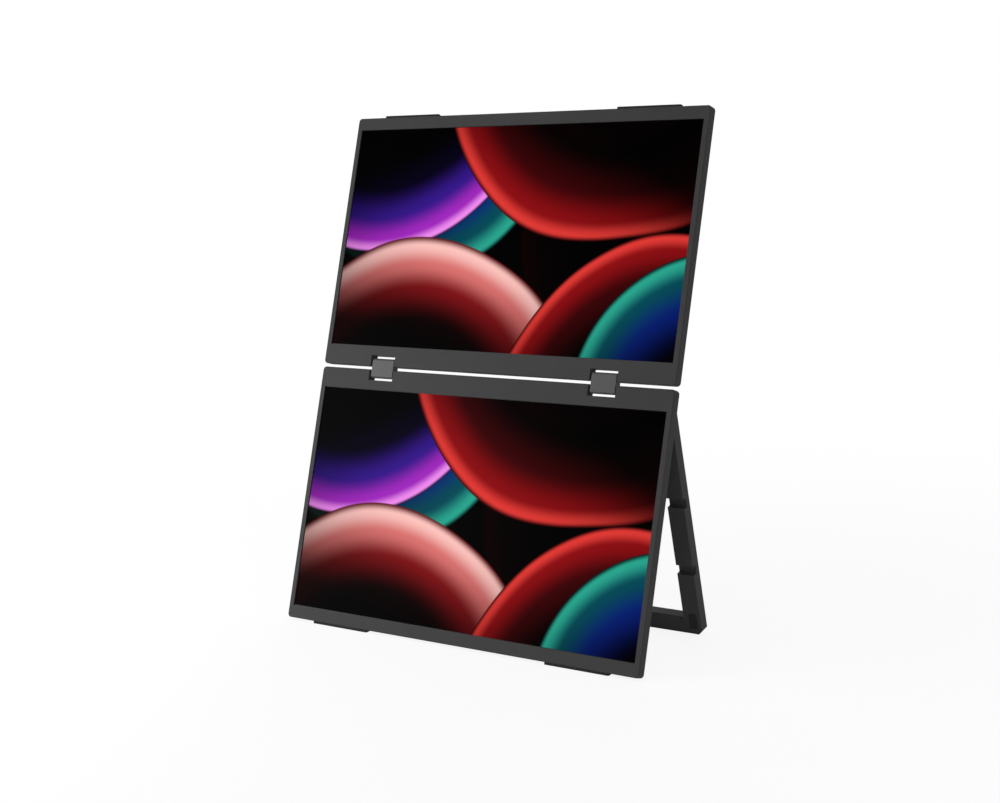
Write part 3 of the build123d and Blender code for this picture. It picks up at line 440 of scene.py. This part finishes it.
@dataclass(frozen=True)
class LitPicture(Finish):
    """Lit display under a matt film: round petals of light on a black ground.

    Attributes:
        width_mm: Width of the lit area.
        height_mm: Height of the lit area.
        petals: What the picture shows, from back to front.
        ground: Colour behind the petals.
        sway_mm: How far the petals are bent out of round.
        sway_length_mm: Over what length they are bent.
        film_roughness: Roughness of the film.
        film_specular: Strength of the film's shine.
    """

    width_mm: float
    height_mm: float
    petals: tuple[Petal, ...]
    ground: str = "#000000"
    sway_mm: float = 16.0
    sway_length_mm: float = 170.0
    film_roughness: float = 0.38
    film_specular: float = 0.006

    def lay(self, tree: bpy.types.NodeTree, shader: bpy.types.Node) -> None:
        """Lay the petals over one another and let the result shine by itself."""
        map_place = add_node(tree, "ShaderNodeTexCoord").outputs["UV"]
        spread = add_node(
            tree,
            "ShaderNodeVectorMath",
            {0: map_place, 1: (self.width_mm, self.height_mm, 0.0)},
            operation="MULTIPLY",
        )
        sway = add_node(
            tree,
            "ShaderNodeTexNoise",
            {"Vector": spread.outputs["Vector"], "Scale": 1 / self.sway_length_mm, "Detail": 0.0},
        )
        centred = add_node(
            tree, "ShaderNodeVectorMath", {0: sway.outputs["Color"], 1: (0.5, 0.5, 0.5)}, operation="SUBTRACT"
        )
        place = add_node(
            tree,
            "ShaderNodeVectorMath",
            {0: centred.outputs["Vector"], 1: (2 * self.sway_mm,) * 3, 2: spread.outputs["Vector"]},
            operation="MULTIPLY_ADD",
        )
        picture: bpy.types.NodeSocket | Colour = linear(self.ground)
        for petal in self.petals:
            picture = self.overlay(tree, place.outputs["Vector"], petal, picture)
        shader.inputs["Base Color"].default_value = linear(self.ground)
        shader.inputs["Roughness"].default_value = self.film_roughness
        shader.inputs["Specular IOR Level"].default_value = self.film_specular
        shader.inputs["Emission Strength"].default_value = 1.0
        tree.links.new(picture, shader.inputs["Emission Color"])

    def overlay(
        self,
        tree: bpy.types.NodeTree,
        place: bpy.types.NodeSocket,
        petal: Petal,
        below: bpy.types.NodeSocket | Colour,
    ) -> bpy.types.NodeSocket:
        """Lay one petal over the picture so far.

        Args:
            tree: The material's node tree.
            place: The swayed place on the display, in millimetres.
            petal: The shape to lay on.
            below: Colour of the picture under it.

        Returns:
            The colour of the picture with the petal.
        """
        from_middle = add_node(
            tree, "ShaderNodeVectorMath", {0: place, 1: (*petal.centre_mm, 0.0)}, operation="SUBTRACT"
        )
        flat = add_node(
            tree,
            "ShaderNodeVectorMath",
            {0: from_middle.outputs["Vector"], 1: (1.0, 1.0, 0.0)},
            operation="MULTIPLY",
        )
        reach = add_node(tree, "ShaderNodeVectorMath", {0: flat.outputs["Vector"]}, operation="LENGTH")
        depth = add_node(
            tree,
            "ShaderNodeMapRange",
            {
                "Value": reach.outputs["Value"],
                "From Min": petal.radius_mm,
                "From Max": petal.radius_mm - petal.depth_mm,
            },
        )
        glow = add_node(
            tree, "ShaderNodeValToRGB", {"Fac": depth.outputs["Result"]}, stops=petal.glow
        )
        glow.color_ramp.interpolation = "EASE"
        turn = math.radians(petal.lit_from_deg)
        toward = (math.cos(turn) / petal.radius_mm, math.sin(turn) / petal.radius_mm, 0.0)
        facing = add_node(
            tree, "ShaderNodeVectorMath", {0: flat.outputs["Vector"], 1: toward}, operation="DOT_PRODUCT"
        )
        light = add_node(
            tree,
            "ShaderNodeMapRange",
            {"Value": facing.outputs["Value"], "From Min": petal.lit_from, "To Min": petal.dim},
            interpolation_type="SMOOTHSTEP",
        )
        shaded = add_node(
            tree,
            "ShaderNodeMix",
            {MIX_FACTOR: 1.0, MIX_A: glow.outputs["Color"], MIX_B: light.outputs["Result"]},
            data_type="RGBA",
            blend_type="MULTIPLY",
        )
        rim = add_node(
            tree,
            "ShaderNodeMapRange",
            {
                "Value": reach.outputs["Value"],
                "From Min": petal.radius_mm + petal.edge_mm / 2,
                "From Max": petal.radius_mm - petal.edge_mm / 2,
            },
            interpolation_type="SMOOTHSTEP",
        )
        joined = add_node(
            tree,
            "ShaderNodeMix",
            {MIX_FACTOR: rim.outputs["Result"], MIX_A: below, MIX_B: shaded.outputs[MIX_RESULT]},
            data_type="RGBA",
        )
        return joined.outputs[MIX_RESULT]


# Casing: PC-ABS from a spark-eroded mould, a dark neutral grey that stays matt
CASING = MouldedPlastic("moulded_abs_grey", "#3a3a3a", "#3e3e3e", roughness=0.62, specular=0.06)
# Stand: glass-filled nylon, about as dark as the casing and a little drier
STAND_NYLON = MouldedPlastic(
    "moulded_nylon_black", "#3d3d3d", "#414141", roughness=0.66, specular=0.06, grain_mm=0.9
)
# Hinge blocks: zinc castings in satin paint, paler than the casing, with a little orange peel
HINGE_PAINT = MouldedPlastic(
    "painted_zinc_grey",
    "#494949",
    "#4d4d4d",
    roughness=0.48,
    specular=0.18,
    grain_mm=1.6,
    grain_depth_mm=0.03,
)
# Buttons: the casing's plastic from a smoother mould
BUTTON_ABS = MouldedPlastic("polished_abs_black", "#2b2b2c", "#303031", roughness=0.4, specular=0.4)
# Foot strips and pads: silicone rubber, nearly black with no shine
RUBBER = MouldedPlastic("silicone_rubber", "#2a2a2b", "#2f2f30", roughness=0.85, specular=0.1, grain_mm=0.5)
# Edge of the display glass: black print under the film
GLASS_EDGE = MouldedPlastic("black_printed_glass", "#070707", "#0a0a0a", roughness=0.3, specular=0.15)
# Speaker cones: treated paper behind the grille
CONE_PAPER = MouldedPlastic("cone_paper", "#151515", "#1b1b1b", roughness=0.9, specular=0.1)
# Screws: blackened steel
SCREW_STEEL = WorkedMetal("blackened_steel", "#4a4a4c", "#343436", roughness=0.42)
# Pins and board screws: ground steel
PIN_STEEL = WorkedMetal("ground_steel", "#b9babd", "#8f9094", roughness=0.28)
# Hinge brackets: bare zinc casting
ZINC = WorkedMetal("cast_zinc", "#9a9b9e", "#7d7e81", roughness=0.5, line_mm=1.2, line_length_mm=1.6)
# Sockets and shield: tinned sheet steel
TINPLATE = WorkedMetal("tinned_steel", "#c9cacc", "#a5a6a9", roughness=0.3)
# Light trays: rolled aluminium sheet
ALUMINIUM = WorkedMetal("rolled_aluminium", "#d3d4d6", "#b9babd", roughness=0.36, line_length_mm=30.0)
# Bushes: sintered bronze, oily and warm
BRONZE = WorkedMetal("sintered_bronze", "#b98a4e", "#8a6235", roughness=0.45, line_mm=0.5, line_length_mm=0.6)
# Insulators in the sockets: moulded liquid-crystal polymer, a dull black
INSULATOR = MouldedPlastic("moulded_polymer_black", "#161617", "#1c1c1d", roughness=0.5, grain_mm=0.4)
# Contacts: gold flash on the tongues of the sockets
GOLD = WorkedMetal("gold_plate", "#e8c168", "#c99b3e", roughness=0.22)
# Boards: glass epoxy under green lacquer with tinned pads
BOARD = PrintedSheet("lacquered_board", "#0d3f26", "#4d7a5b", pitch_mm=2.6, mark_share=0.22, roughness=0.35)
# Flat cables: amber film over copper tracks
FILM = PrintedSheet("polyimide_film", "#a8641c", "#d09145", pitch_mm=1.0, mark_share=0.3, roughness=0.3)
# Light guides: acrylic with white dots that bring the light out
ACRYLIC = PrintedSheet("dotted_acrylic", "#dfe5ea", "#ffffff", pitch_mm=1.4, mark_share=0.3, roughness=0.15)

# Picture on both displays: an abstract of overlapping petals, from back to front
PICTURE = LitPicture(
    "lit_display",
    width_mm=344.16,
    height_mm=193.59,
    petals=(
        Petal((318.0, 105.0), 132.0, 110.0, EMBER, lit_from_deg=108.0),
        Petal((70.0, 232.0), 165.0, 100.0, LAGOON, lit_from_deg=-48.0),
        Petal((30.0, 266.0), 180.0, 84.0, MAGENTA, lit_from_deg=-62.0),
        Petal((262.0, 268.0), 176.0, 130.0, CRIMSON, lit_from_deg=-118.0),
        Petal((88.0, -85.0), 184.0, 120.0, ROSE, lit_from_deg=76.0),
        Petal((352.0, -72.0), 176.0, 120.0, CRIMSON, lit_from_deg=116.0),
        Petal((398.0, -40.0), 138.0, 96.0, LAGOON, lit_from_deg=132.0),
    ),
)


def rounded(width: float, height: float, radius: float, steps: int = 4) -> list[tuple[float, float]]:
    """Draw a rounded rectangle about the origin.

    Args:
        width: Its size across.
        height: Its size up.
        radius: Radius of its corners.
        steps: Straight pieces in each corner.

    Returns:
        Its corners, anticlockwise.
    """
    points = []
    for quarter, (x, y) in enumerate(((1, 1), (-1, 1), (-1, -1), (1, -1))):
        for step in range(steps + 1):
            turn = math.pi / 2 * (quarter + step / steps)
            across = x * (width / 2 - radius) + radius * math.cos(turn)
            up = y * (height / 2 - radius) + radius * math.sin(turn)
            points.append((across, up))
    return points


def join_rings(
    shape: bmesh.types.BMesh, rings: Sequence[Sequence[bmesh.types.BMVert]]
) -> list[bmesh.types.BMFace]:
    """Join each ring of corners to the next with a band of faces.

    Args:
        shape: The mesh that the corners are in.
        rings: Rings with the same number of corners.

    Returns:
        The new faces.
    """
    faces = []
    for inner, outer in zip(rings, rings[1:]):
        for start in range(len(inner)):
            end = (start + 1) % len(inner)
            faces.append(shape.faces.new((inner[start], inner[end], outer[end], outer[start])))
    return faces


@dataclass(frozen=True)
class ScreenPlane:
    """The shared plane of the two screens' fronts, with places taken from the middle of the slit."""

    origin: Vector
    up: Vector
    out: Vector

    @classmethod
    def from_hinges(cls, joints: Sequence[Mapping[str, Any]], half_thickness_mm: float) -> "ScreenPlane":
        """Find the plane from the two fold axes, which lie half a casing behind it.

        Args:
            joints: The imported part's joints.
            half_thickness_mm: Distance from the axes to the fronts.

        Returns:
            The plane.
        """
        axes = {joint["name"]: Vector(joint["pos_m"]) for joint in joints if "pos_m" in joint}
        lower, upper = axes["link_fold"], axes["screen_fold"]
        up = (upper - lower).normalized()
        out = up.cross(Vector((1.0, 0.0, 0.0))).normalized()
        out = -out if out.y > 0 else out
        return cls((lower + upper) / 2 + out * half_thickness_mm * MM, up, out)

    def place(self, across_mm: float, up_mm: float, out_mm: float = 0.0) -> Vector:
        """Give the point so far across, up and out from the middle of the slit, in metres."""
        along = Vector((across_mm * MM, 0.0, 0.0))
        return self.origin + along + self.up * up_mm * MM + self.out * out_mm * MM


@dataclass
class SubAssembly:
    """Pieces that are finished together."""

    def wear(self, finish: Finish, *nodes: str) -> None:
        """Give CAD nodes a finish.

        Args:
            finish: What they wear.
            *nodes: Names of the nodes.
        """
        for name in nodes:
            mesh = frame["nodes"][name].data
            mesh.materials.clear()
            mesh.materials.append(finish.material())
            LOG.info("%s wears %s", name, finish.name)

    def add_piece(
        self, name: str, shape: bmesh.types.BMesh, finishes: Sequence[Finish], body: str, slot: str
    ) -> bpy.types.Object:
        """Turn a finished shape into a piece that rides on a body.

        Args:
            name: The new piece's name.
            shape: Its mesh in the part's frame; it is freed here.
            finishes: Its finishes, in the order of its material numbers.
            body: The CAD body that it rides on.
            slot: The record's material slot; not used.

        Returns:
            The new object.
        """
        bmesh.ops.recalc_face_normals(shape, faces=shape.faces)
        mesh = bpy.data.meshes.new(name)
        shape.to_mesh(mesh)
        shape.free()
        for finish in finishes:
            mesh.materials.append(finish.material())
        piece = bpy.data.objects.new(name, mesh)
        bpy.context.scene.collection.objects.link(piece)
        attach(piece, body)
        LOG.info("%s built, %d faces, rides on %s", name, len(mesh.polygons), body)
        return piece


@dataclass
class Screen(SubAssembly):
    """Casing, display and light of one screen.

    Attributes:
        side: Which screen.
        plane: The plane of the screens' fronts.
        lit_w_mm: Width of the lit area.
        lit_h_mm: Height of the lit area.
        edge_mm: How far the glass reaches past the lit area, under the bezel.
        glass_mm: Thickness of the glass.
        front_depth_mm: How far the glass lies behind the bezel's front.
        slit_to_lit_mm: From the middle of the slit to the lit area.
    """

    side: Side
    plane: ScreenPlane
    lit_w_mm: float = PICTURE.width_mm
    lit_h_mm: float = PICTURE.height_mm
    edge_mm: float = 3.0
    glass_mm: float = 1.2
    front_depth_mm: float = 1.05
    slit_to_lit_mm: float = 19.35

    def build(self) -> None:
        """Build the display and finish the casing."""
        word = self.side.word
        self.wear(CASING, f"{word}_bezel", f"{word}_rear_cover")
        self.wear(RUBBER, f"{word}_foot_left", f"{word}_foot_right")
        self.wear(SCREW_STEEL, f"{word}_case_screws", f"{word}_bracket_screws")
        self.wear(ACRYLIC, f"{word}_light_guide")
        self.wear(ALUMINIUM, f"{word}_backlight_tray")
        self.wear(BOARD, f"{word}_driver_board")
        self.wear(FILM, f"{word}_ribbon")
        display = self.add_piece(
            f"{word}_display", self.display_shape(), (GLASS_EDGE, PICTURE), self.side.body, "display"
        )
        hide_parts(f"{word}_display_cell")

    def display_shape(self) -> bmesh.types.BMesh:
        """Build the glass slab, with the lit area as a face of its own.

        Returns:
            The slab, whose lit face has material number 1 and fills the picture's map.
        """
        middle = self.side.value * (self.slit_to_lit_mm + self.lit_h_mm / 2)
        half_w, half_h = self.lit_w_mm / 2, self.lit_h_mm / 2
        front, back = -self.front_depth_mm, -self.front_depth_mm - self.glass_mm
        corners = ((-1, -1), (1, -1), (1, 1), (-1, 1))
        shape = bmesh.new()
        rings = []
        for margin, depth in ((0.0, front), (self.edge_mm, front), (self.edge_mm, back)):
            ring = [(x * (half_w + margin), middle + y * (half_h + margin)) for x, y in corners]
            rings.append([shape.verts.new(self.plane.place(across, up, depth)) for across, up in ring])
        join_rings(shape, rings)
        shape.faces.new(rings[-1])
        lit = shape.faces.new(rings[0])
        lit.material_index = 1
        picture_map = shape.loops.layers.uv.new("picture")
        for loop, (x, y) in zip(lit.loops, corners):
            loop[picture_map].uv = ((x + 1) / 2, (y + 1) / 2)
        return shape


@dataclass
class Hinges(SubAssembly):
    """The two double-axis hinges between the screens."""

    def build(self) -> None:
        """Finish blocks, bushes, brackets, pins and washers."""
        for hand in ("left", "right"):
            self.wear(HINGE_PAINT, f"hinge_block_{hand}")
            self.wear(BRONZE, f"hinge_bushes_{hand}")
            for side in Side:
                self.wear(ZINC, f"{side.word}_hinge_bracket_{hand}")
                self.wear(PIN_STEEL, f"{side.word}_hinge_pin_{hand}")
        for side in Side:
            self.wear(SCREW_STEEL, f"{side.word}_friction_washers")


@dataclass
class Stand(SubAssembly):
    """The prop stand and its hinges."""

    def build(self) -> None:
        """Finish the frame, its pads and what it hangs on."""
        self.wear(STAND_NYLON, "stand_frame", "stand_mount_left", "stand_mount_right")
        self.wear(RUBBER, "stand_pad_left", "stand_pad_right")
        self.wear(BRONZE, "stand_bushes")
        self.wear(PIN_STEEL, "stand_pin_left", "stand_pin_right")
        self.wear(SCREW_STEEL, "stand_mount_screws")


@dataclass
class Electronics(SubAssembly):
    """Boards, sockets, speakers and buttons of the lower screen."""

    def build(self) -> None:
        """Finish everything in and on the housing."""
        self.wear(BOARD, "main_board", "key_board")
        self.wear(TINPLATE, "board_shield", "usb_c_sockets", "hdmi_socket")
        self.wear(PIN_STEEL, "board_screws")
        self.wear(CONE_PAPER, "speaker_left", "speaker_right")
        self.wear(BUTTON_ABS, "power_button", "menu_up_button", "menu_down_button")


@dataclass(frozen=True)
class Socket:
    """The inside of one socket.

    Attributes:
        facing: 1 if its mouth faces right and -1 if it faces left.
        up_mm: Its middle, up from the slit between the screens.
        space_mm: Width and height of the space inside its shell.
        corner_mm: Radius of that space's corners.
        tongue_mm: Width and thickness of the insulator round its tongue.
        contacts: Strips on each face of the tongue.
    """

    facing: int
    up_mm: float
    space_mm: tuple[float, float]
    corner_mm: float
    tongue_mm: tuple[float, float]
    contacts: int


USB_C_SOCKETS = tuple(
    Socket(1, up_mm, space_mm=(8.0, 2.3), corner_mm=1.1, tongue_mm=(6.0, 0.94), contacts=6)
    for up_mm in (-95.3, -154.9)
)
HDMI_SOCKET = Socket(-1, -95.3, space_mm=(10.3, 2.3), corner_mm=0.3, tongue_mm=(8.3, 0.94), contacts=8)


@dataclass
class SocketInserts(SubAssembly):
    """Black insulators with gold contacts inside the sockets of the lower screen's housing.

    Attributes:
        plane: The screens' plane.
        behind_mm: How far the sockets' middles lie behind it.
        floor_mm: Where the space in a socket starts, out from the housing's middle.
        plate_mm: Thickness of the insulator's plate on that floor.
        tip_mm: Where the tongue ends.
        taper_mm: How much narrower and thinner the tongue gets at its tip, and over what length.
        strip_mm: Length, width and rise of a contact. The real strips are half as wide and twice as
            many: they are drawn coarser, or they would blur into one.
    """

    plane: ScreenPlane
    behind_mm: float = 12.2
    floor_mm: float = 111.12
    plate_mm: float = 0.6
    tip_mm: float = 117.0
    taper_mm: float = 0.3
    strip_mm: tuple[float, float, float] = (4.2, 0.5, 0.04)

    def build(self) -> None:
        """Build the inserts of both kinds of socket."""
        for name, sockets in (("usb_c_inserts", USB_C_SOCKETS), ("hdmi_insert", (HDMI_SOCKET,))):
            shape = bmesh.new()
            for socket in sockets:
                self.fill(shape, socket)
            self.add_piece(name, shape, (INSULATOR, GOLD), Side.LOWER.body, "shield")

    def fill(self, shape: bmesh.types.BMesh, socket: Socket) -> None:
        """Fill one socket with its plate, tongue and contacts.

        Args:
            shape: The mesh that gets them.
            socket: The socket.
        """
        plate_end = self.floor_mm + self.plate_mm
        plate = rounded(*socket.space_mm, socket.corner_mm)
        self.add_bar(shape, socket, ((self.floor_mm, plate), (plate_end, plate)))
        width, thick = socket.tongue_mm
        full = rounded(width, thick, thick / 4)
        tip = rounded(width - self.taper_mm, thick - self.taper_mm, thick / 4)
        sections = ((plate_end, full), (self.tip_mm - self.taper_mm, full), (self.tip_mm, tip))
        self.add_bar(shape, socket, sections)
        length, strip_w, rise = self.strip_mm
        strip_end = self.tip_mm - 2 * self.taper_mm
        strip = rounded(strip_w, 2 * rise, rise / 2)
        pitch = (width - strip_w) / socket.contacts
        for face in (-1, 1):
            for index in range(socket.contacts):
                middle = ((index - (socket.contacts - 1) / 2) * pitch, face * thick / 2)
                ends = ((strip_end - length, strip), (strip_end, strip))
                self.add_bar(shape, socket, ends, middle, material=1)

    def add_bar(
        self,
        shape: bmesh.types.BMesh,
        socket: Socket,
        sections: Sequence[tuple[float, Sequence[tuple[float, float]]]],
        middle_mm: tuple[float, float] = (0.0, 0.0),
        material: int = 0,
    ) -> None:
        """Add a closed bar that runs out along a socket.

        Args:
            shape: The mesh that gets it.
            socket: The socket that it lies in.
            sections: Place out from the housing's middle and outline of each cross-section.
            middle_mm: Where its axis runs, up and out from the socket's own.
            material: Its material number.
        """
        rings = []
        for reach, outline in sections:
            ring = []
            for up, out in outline:
                up_mm = socket.up_mm + middle_mm[0] + up
                place = self.plane.place(socket.facing * reach, up_mm, middle_mm[1] + out - self.behind_mm)
                ring.append(shape.verts.new(place))
            rings.append(ring)
        faces = [shape.faces.new(rings[0]), shape.faces.new(rings[-1]), *join_rings(shape, rings)]
        for face in faces:
            face.material_index = material


@dataclass(frozen=True)
class Lamp:
    """A soft box that points at the object."""

    name: str
    place_m: tuple[float, float, float]
    size_m: float
    power_w: float


@dataclass
class Studio:
    """Pale floor, white surroundings and soft boxes.

    Attributes:
        aim: What the soft boxes point at.
        floor_m: Size of the floor.
        floor_colour: Its colour.
        shadow_m: How far from the middle the floor turns plain white.
        near_share: Where it starts to, as a share of that.
        shadow_share: How much of the shadow it shows near the middle.
        ambient: Strength of the light that comes from all around.
        lamps: The soft boxes: from the front left, the front right, above, and behind for the back.
    """

    aim: Vector
    floor_m: float = 8.0
    floor_colour: str = "#fdfdfd"
    shadow_m: float = 0.9
    near_share: float = 1 / 3
    shadow_share: float = 0.12
    ambient: float = 0.5
    lamps: tuple[Lamp, ...] = (
        Lamp("key", (-0.7, -0.6, 0.31), 0.5, 6.1),
        Lamp("fill", (0.8, -0.9, 0.2), 0.5, 1.3),
        Lamp("top", (0.0, 0.6, 2.2), 1.8, 4.0),
        Lamp("back", (-0.7, 1.3, 0.6), 1.0, 9.0),
    )

    def build(self) -> None:
        """Set up the surroundings, the floor and the lamps."""
        bpy.context.scene.view_settings.view_transform = "Standard"
        self.surround()
        self.lay_floor()
        for lamp in self.lamps:
            self.hang(lamp)

    def seen(self, tree: bpy.types.NodeTree) -> bpy.types.NodeSocket:
        """Give 1 for rays of the camera, of reflections and through glass, and 0 for those that light."""
        path = add_node(tree, "ShaderNodeLightPath")
        mirrored = add_node(
            tree,
            "ShaderNodeMath",
            {0: path.outputs["Is Camera Ray"], 1: path.outputs["Is Glossy Ray"]},
            operation="MAXIMUM",
        )
        either = add_node(
            tree,
            "ShaderNodeMath",
            {0: mirrored.outputs["Value"], 1: path.outputs["Is Transmission Ray"]},
            operation="MAXIMUM",
        )
        return either.outputs["Value"]

    def surround(self) -> None:
        """Make the surroundings white to look at, and a plain ambient light."""
        world = bpy.data.worlds.new("studio")
        bpy.context.scene.world = world
        world.use_nodes = True
        tree = world.node_tree
        tree.nodes.clear()
        strength = add_node(
            tree, "ShaderNodeMapRange", {"Value": self.seen(tree), "To Min": self.ambient, "To Max": 1.0}
        )
        white = add_node(
            tree,
            "ShaderNodeBackground",
            {"Color": WHITE, "Strength": strength.outputs["Result"]},
        )
        add_node(tree, "ShaderNodeOutputWorld", {"Surface": white.outputs["Background"]})

    def lay_floor(self) -> None:
        """Lay the floor: pale and matt round the object, where its shadow falls, and plain white beyond."""
        half = self.floor_m / 2
        mesh = bpy.data.meshes.new("floor")
        corners = [(-half, -half, 0.0), (half, -half, 0.0), (half, half, 0.0), (-half, half, 0.0)]
        mesh.from_pydata(corners, [], [(0, 1, 2, 3)])
        floor = bpy.data.objects.new("floor", mesh)
        bpy.context.scene.collection.objects.link(floor)
        floor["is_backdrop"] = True
        made = bpy.data.materials.new("painted_floor")
        made.use_nodes = True
        tree = made.node_tree
        tree.nodes.clear()
        matt = add_node(tree, "ShaderNodeBsdfDiffuse", {"Color": linear(self.floor_colour)})
        white = add_node(tree, "ShaderNodeEmission", {"Color": WHITE, "Strength": 1.0})
        place = add_node(tree, "ShaderNodeTexCoord").outputs["Object"]
        reach = add_node(tree, "ShaderNodeVectorMath", {0: place}, operation="LENGTH")
        beyond = add_node(
            tree,
            "ShaderNodeMapRange",
            {
                "Value": reach.outputs["Value"],
                "From Min": self.shadow_m * self.near_share,
                "From Max": self.shadow_m,
                "To Min": 1 - self.shadow_share,
            },
            interpolation_type="SMOOTHSTEP",
        )
        share = add_node(
            tree,
            "ShaderNodeMath",
            {0: beyond.outputs["Result"], 1: self.seen(tree)},
            operation="MULTIPLY",
        )
        both = add_node(
            tree,
            "ShaderNodeMixShader",
            {0: share.outputs["Value"], 1: matt.outputs["BSDF"], 2: white.outputs["Emission"]},
        )
        add_node(tree, "ShaderNodeOutputMaterial", {"Surface": both.outputs["Shader"]})
        mesh.materials.append(made)

    def hang(self, lamp: Lamp) -> None:
        """Hang one soft box and point it at the object."""
        light = bpy.data.lights.new(lamp.name, "AREA")
        light.shape = "SQUARE"
        light.size = lamp.size_m
        light.energy = lamp.power_w
        holder = bpy.data.objects.new(lamp.name, light)
        holder.location = lamp.place_m
        holder.rotation_euler = (self.aim - holder.location).to_track_quat("-Z", "Y").to_euler()
        bpy.context.scene.collection.objects.link(holder)


@dataclass
class Viewpoint:
    """The camera, placed from the screens' plane as the photograph shows them.

    Attributes:
        plane: The screens' plane.
        stand_mm: Where it stands, across, up and out from the middle of the slit.
        aim_mm: Where its axis meets that plane, across, up and out.
        roll_deg: How far it is turned about its axis, anticlockwise.
        focal_px: Focal length in pixels of the image.
        image_w_px: Width of the image.
        sensor_mm: Width of the sensor.
    """

    plane: ScreenPlane
    stand_mm: tuple[float, float, float] = (811.15, -139.95, 1150.22)
    aim_mm: tuple[float, float, float] = (16.39, -21.09, 0.0)
    roll_deg: float = -3.383
    focal_px: float = 1705.1
    image_w_px: float = 1000.0
    sensor_mm: float = 36.0

    def build(self) -> None:
        """Make the camera and set it as the scene's own."""
        data = bpy.data.cameras.new("viewpoint")
        data.sensor_width = self.sensor_mm
        data.lens = self.focal_px * self.sensor_mm / self.image_w_px
        stand = self.plane.place(*self.stand_mm)
        forward = (self.plane.place(*self.aim_mm) - stand).normalized()
        turn = Matrix.Rotation(math.radians(self.roll_deg), 3, -forward)
        right = turn @ forward.cross(Vector((0.0, 0.0, 1.0))).normalized()
        up = right.cross(forward)
        camera = bpy.data.objects.new("viewpoint", data)
        turned = Matrix((right, up, -forward)).transposed().to_4x4()
        camera.matrix_world = Matrix.Translation(stand) @ turned
        bpy.context.scene.collection.objects.link(camera)
        bpy.context.scene.camera = camera
        LOG.info("camera stands at %s", [round(value, 4) for value in stand])


@dataclass
class Monitor:
    """The whole object, in the order in which it is dressed.

    Attributes:
        half_thickness_mm: How far the fold axes lie behind the screens' fronts.
    """

    half_thickness_mm: float = 4.4

    def build(self) -> ScreenPlane:
        """Build and finish every sub-assembly.

        Returns:
            The plane of the screens, for the camera.
        """
        plane = ScreenPlane.from_hinges(frame["joints"], self.half_thickness_mm)
        for side in Side:
            Screen(side, plane).build()
        Hinges().build()
        Stand().build()
        Electronics().build()
        SocketInserts(plane).build()
        return plane


def main() -> None:
    """Dress the monitor, light it about the middle of its CAD box and place the camera."""
    logging.basicConfig(level=logging.INFO, format="%(name)s: %(message)s")
    cad_box = [list(corner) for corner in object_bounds()]
    plane = Monitor().build()
    low, high = (Vector(corner) for corner in cad_box)
    Studio((low + high) / 2).build()
    Viewpoint(plane).build()


if __name__ == "__main__":
    main()
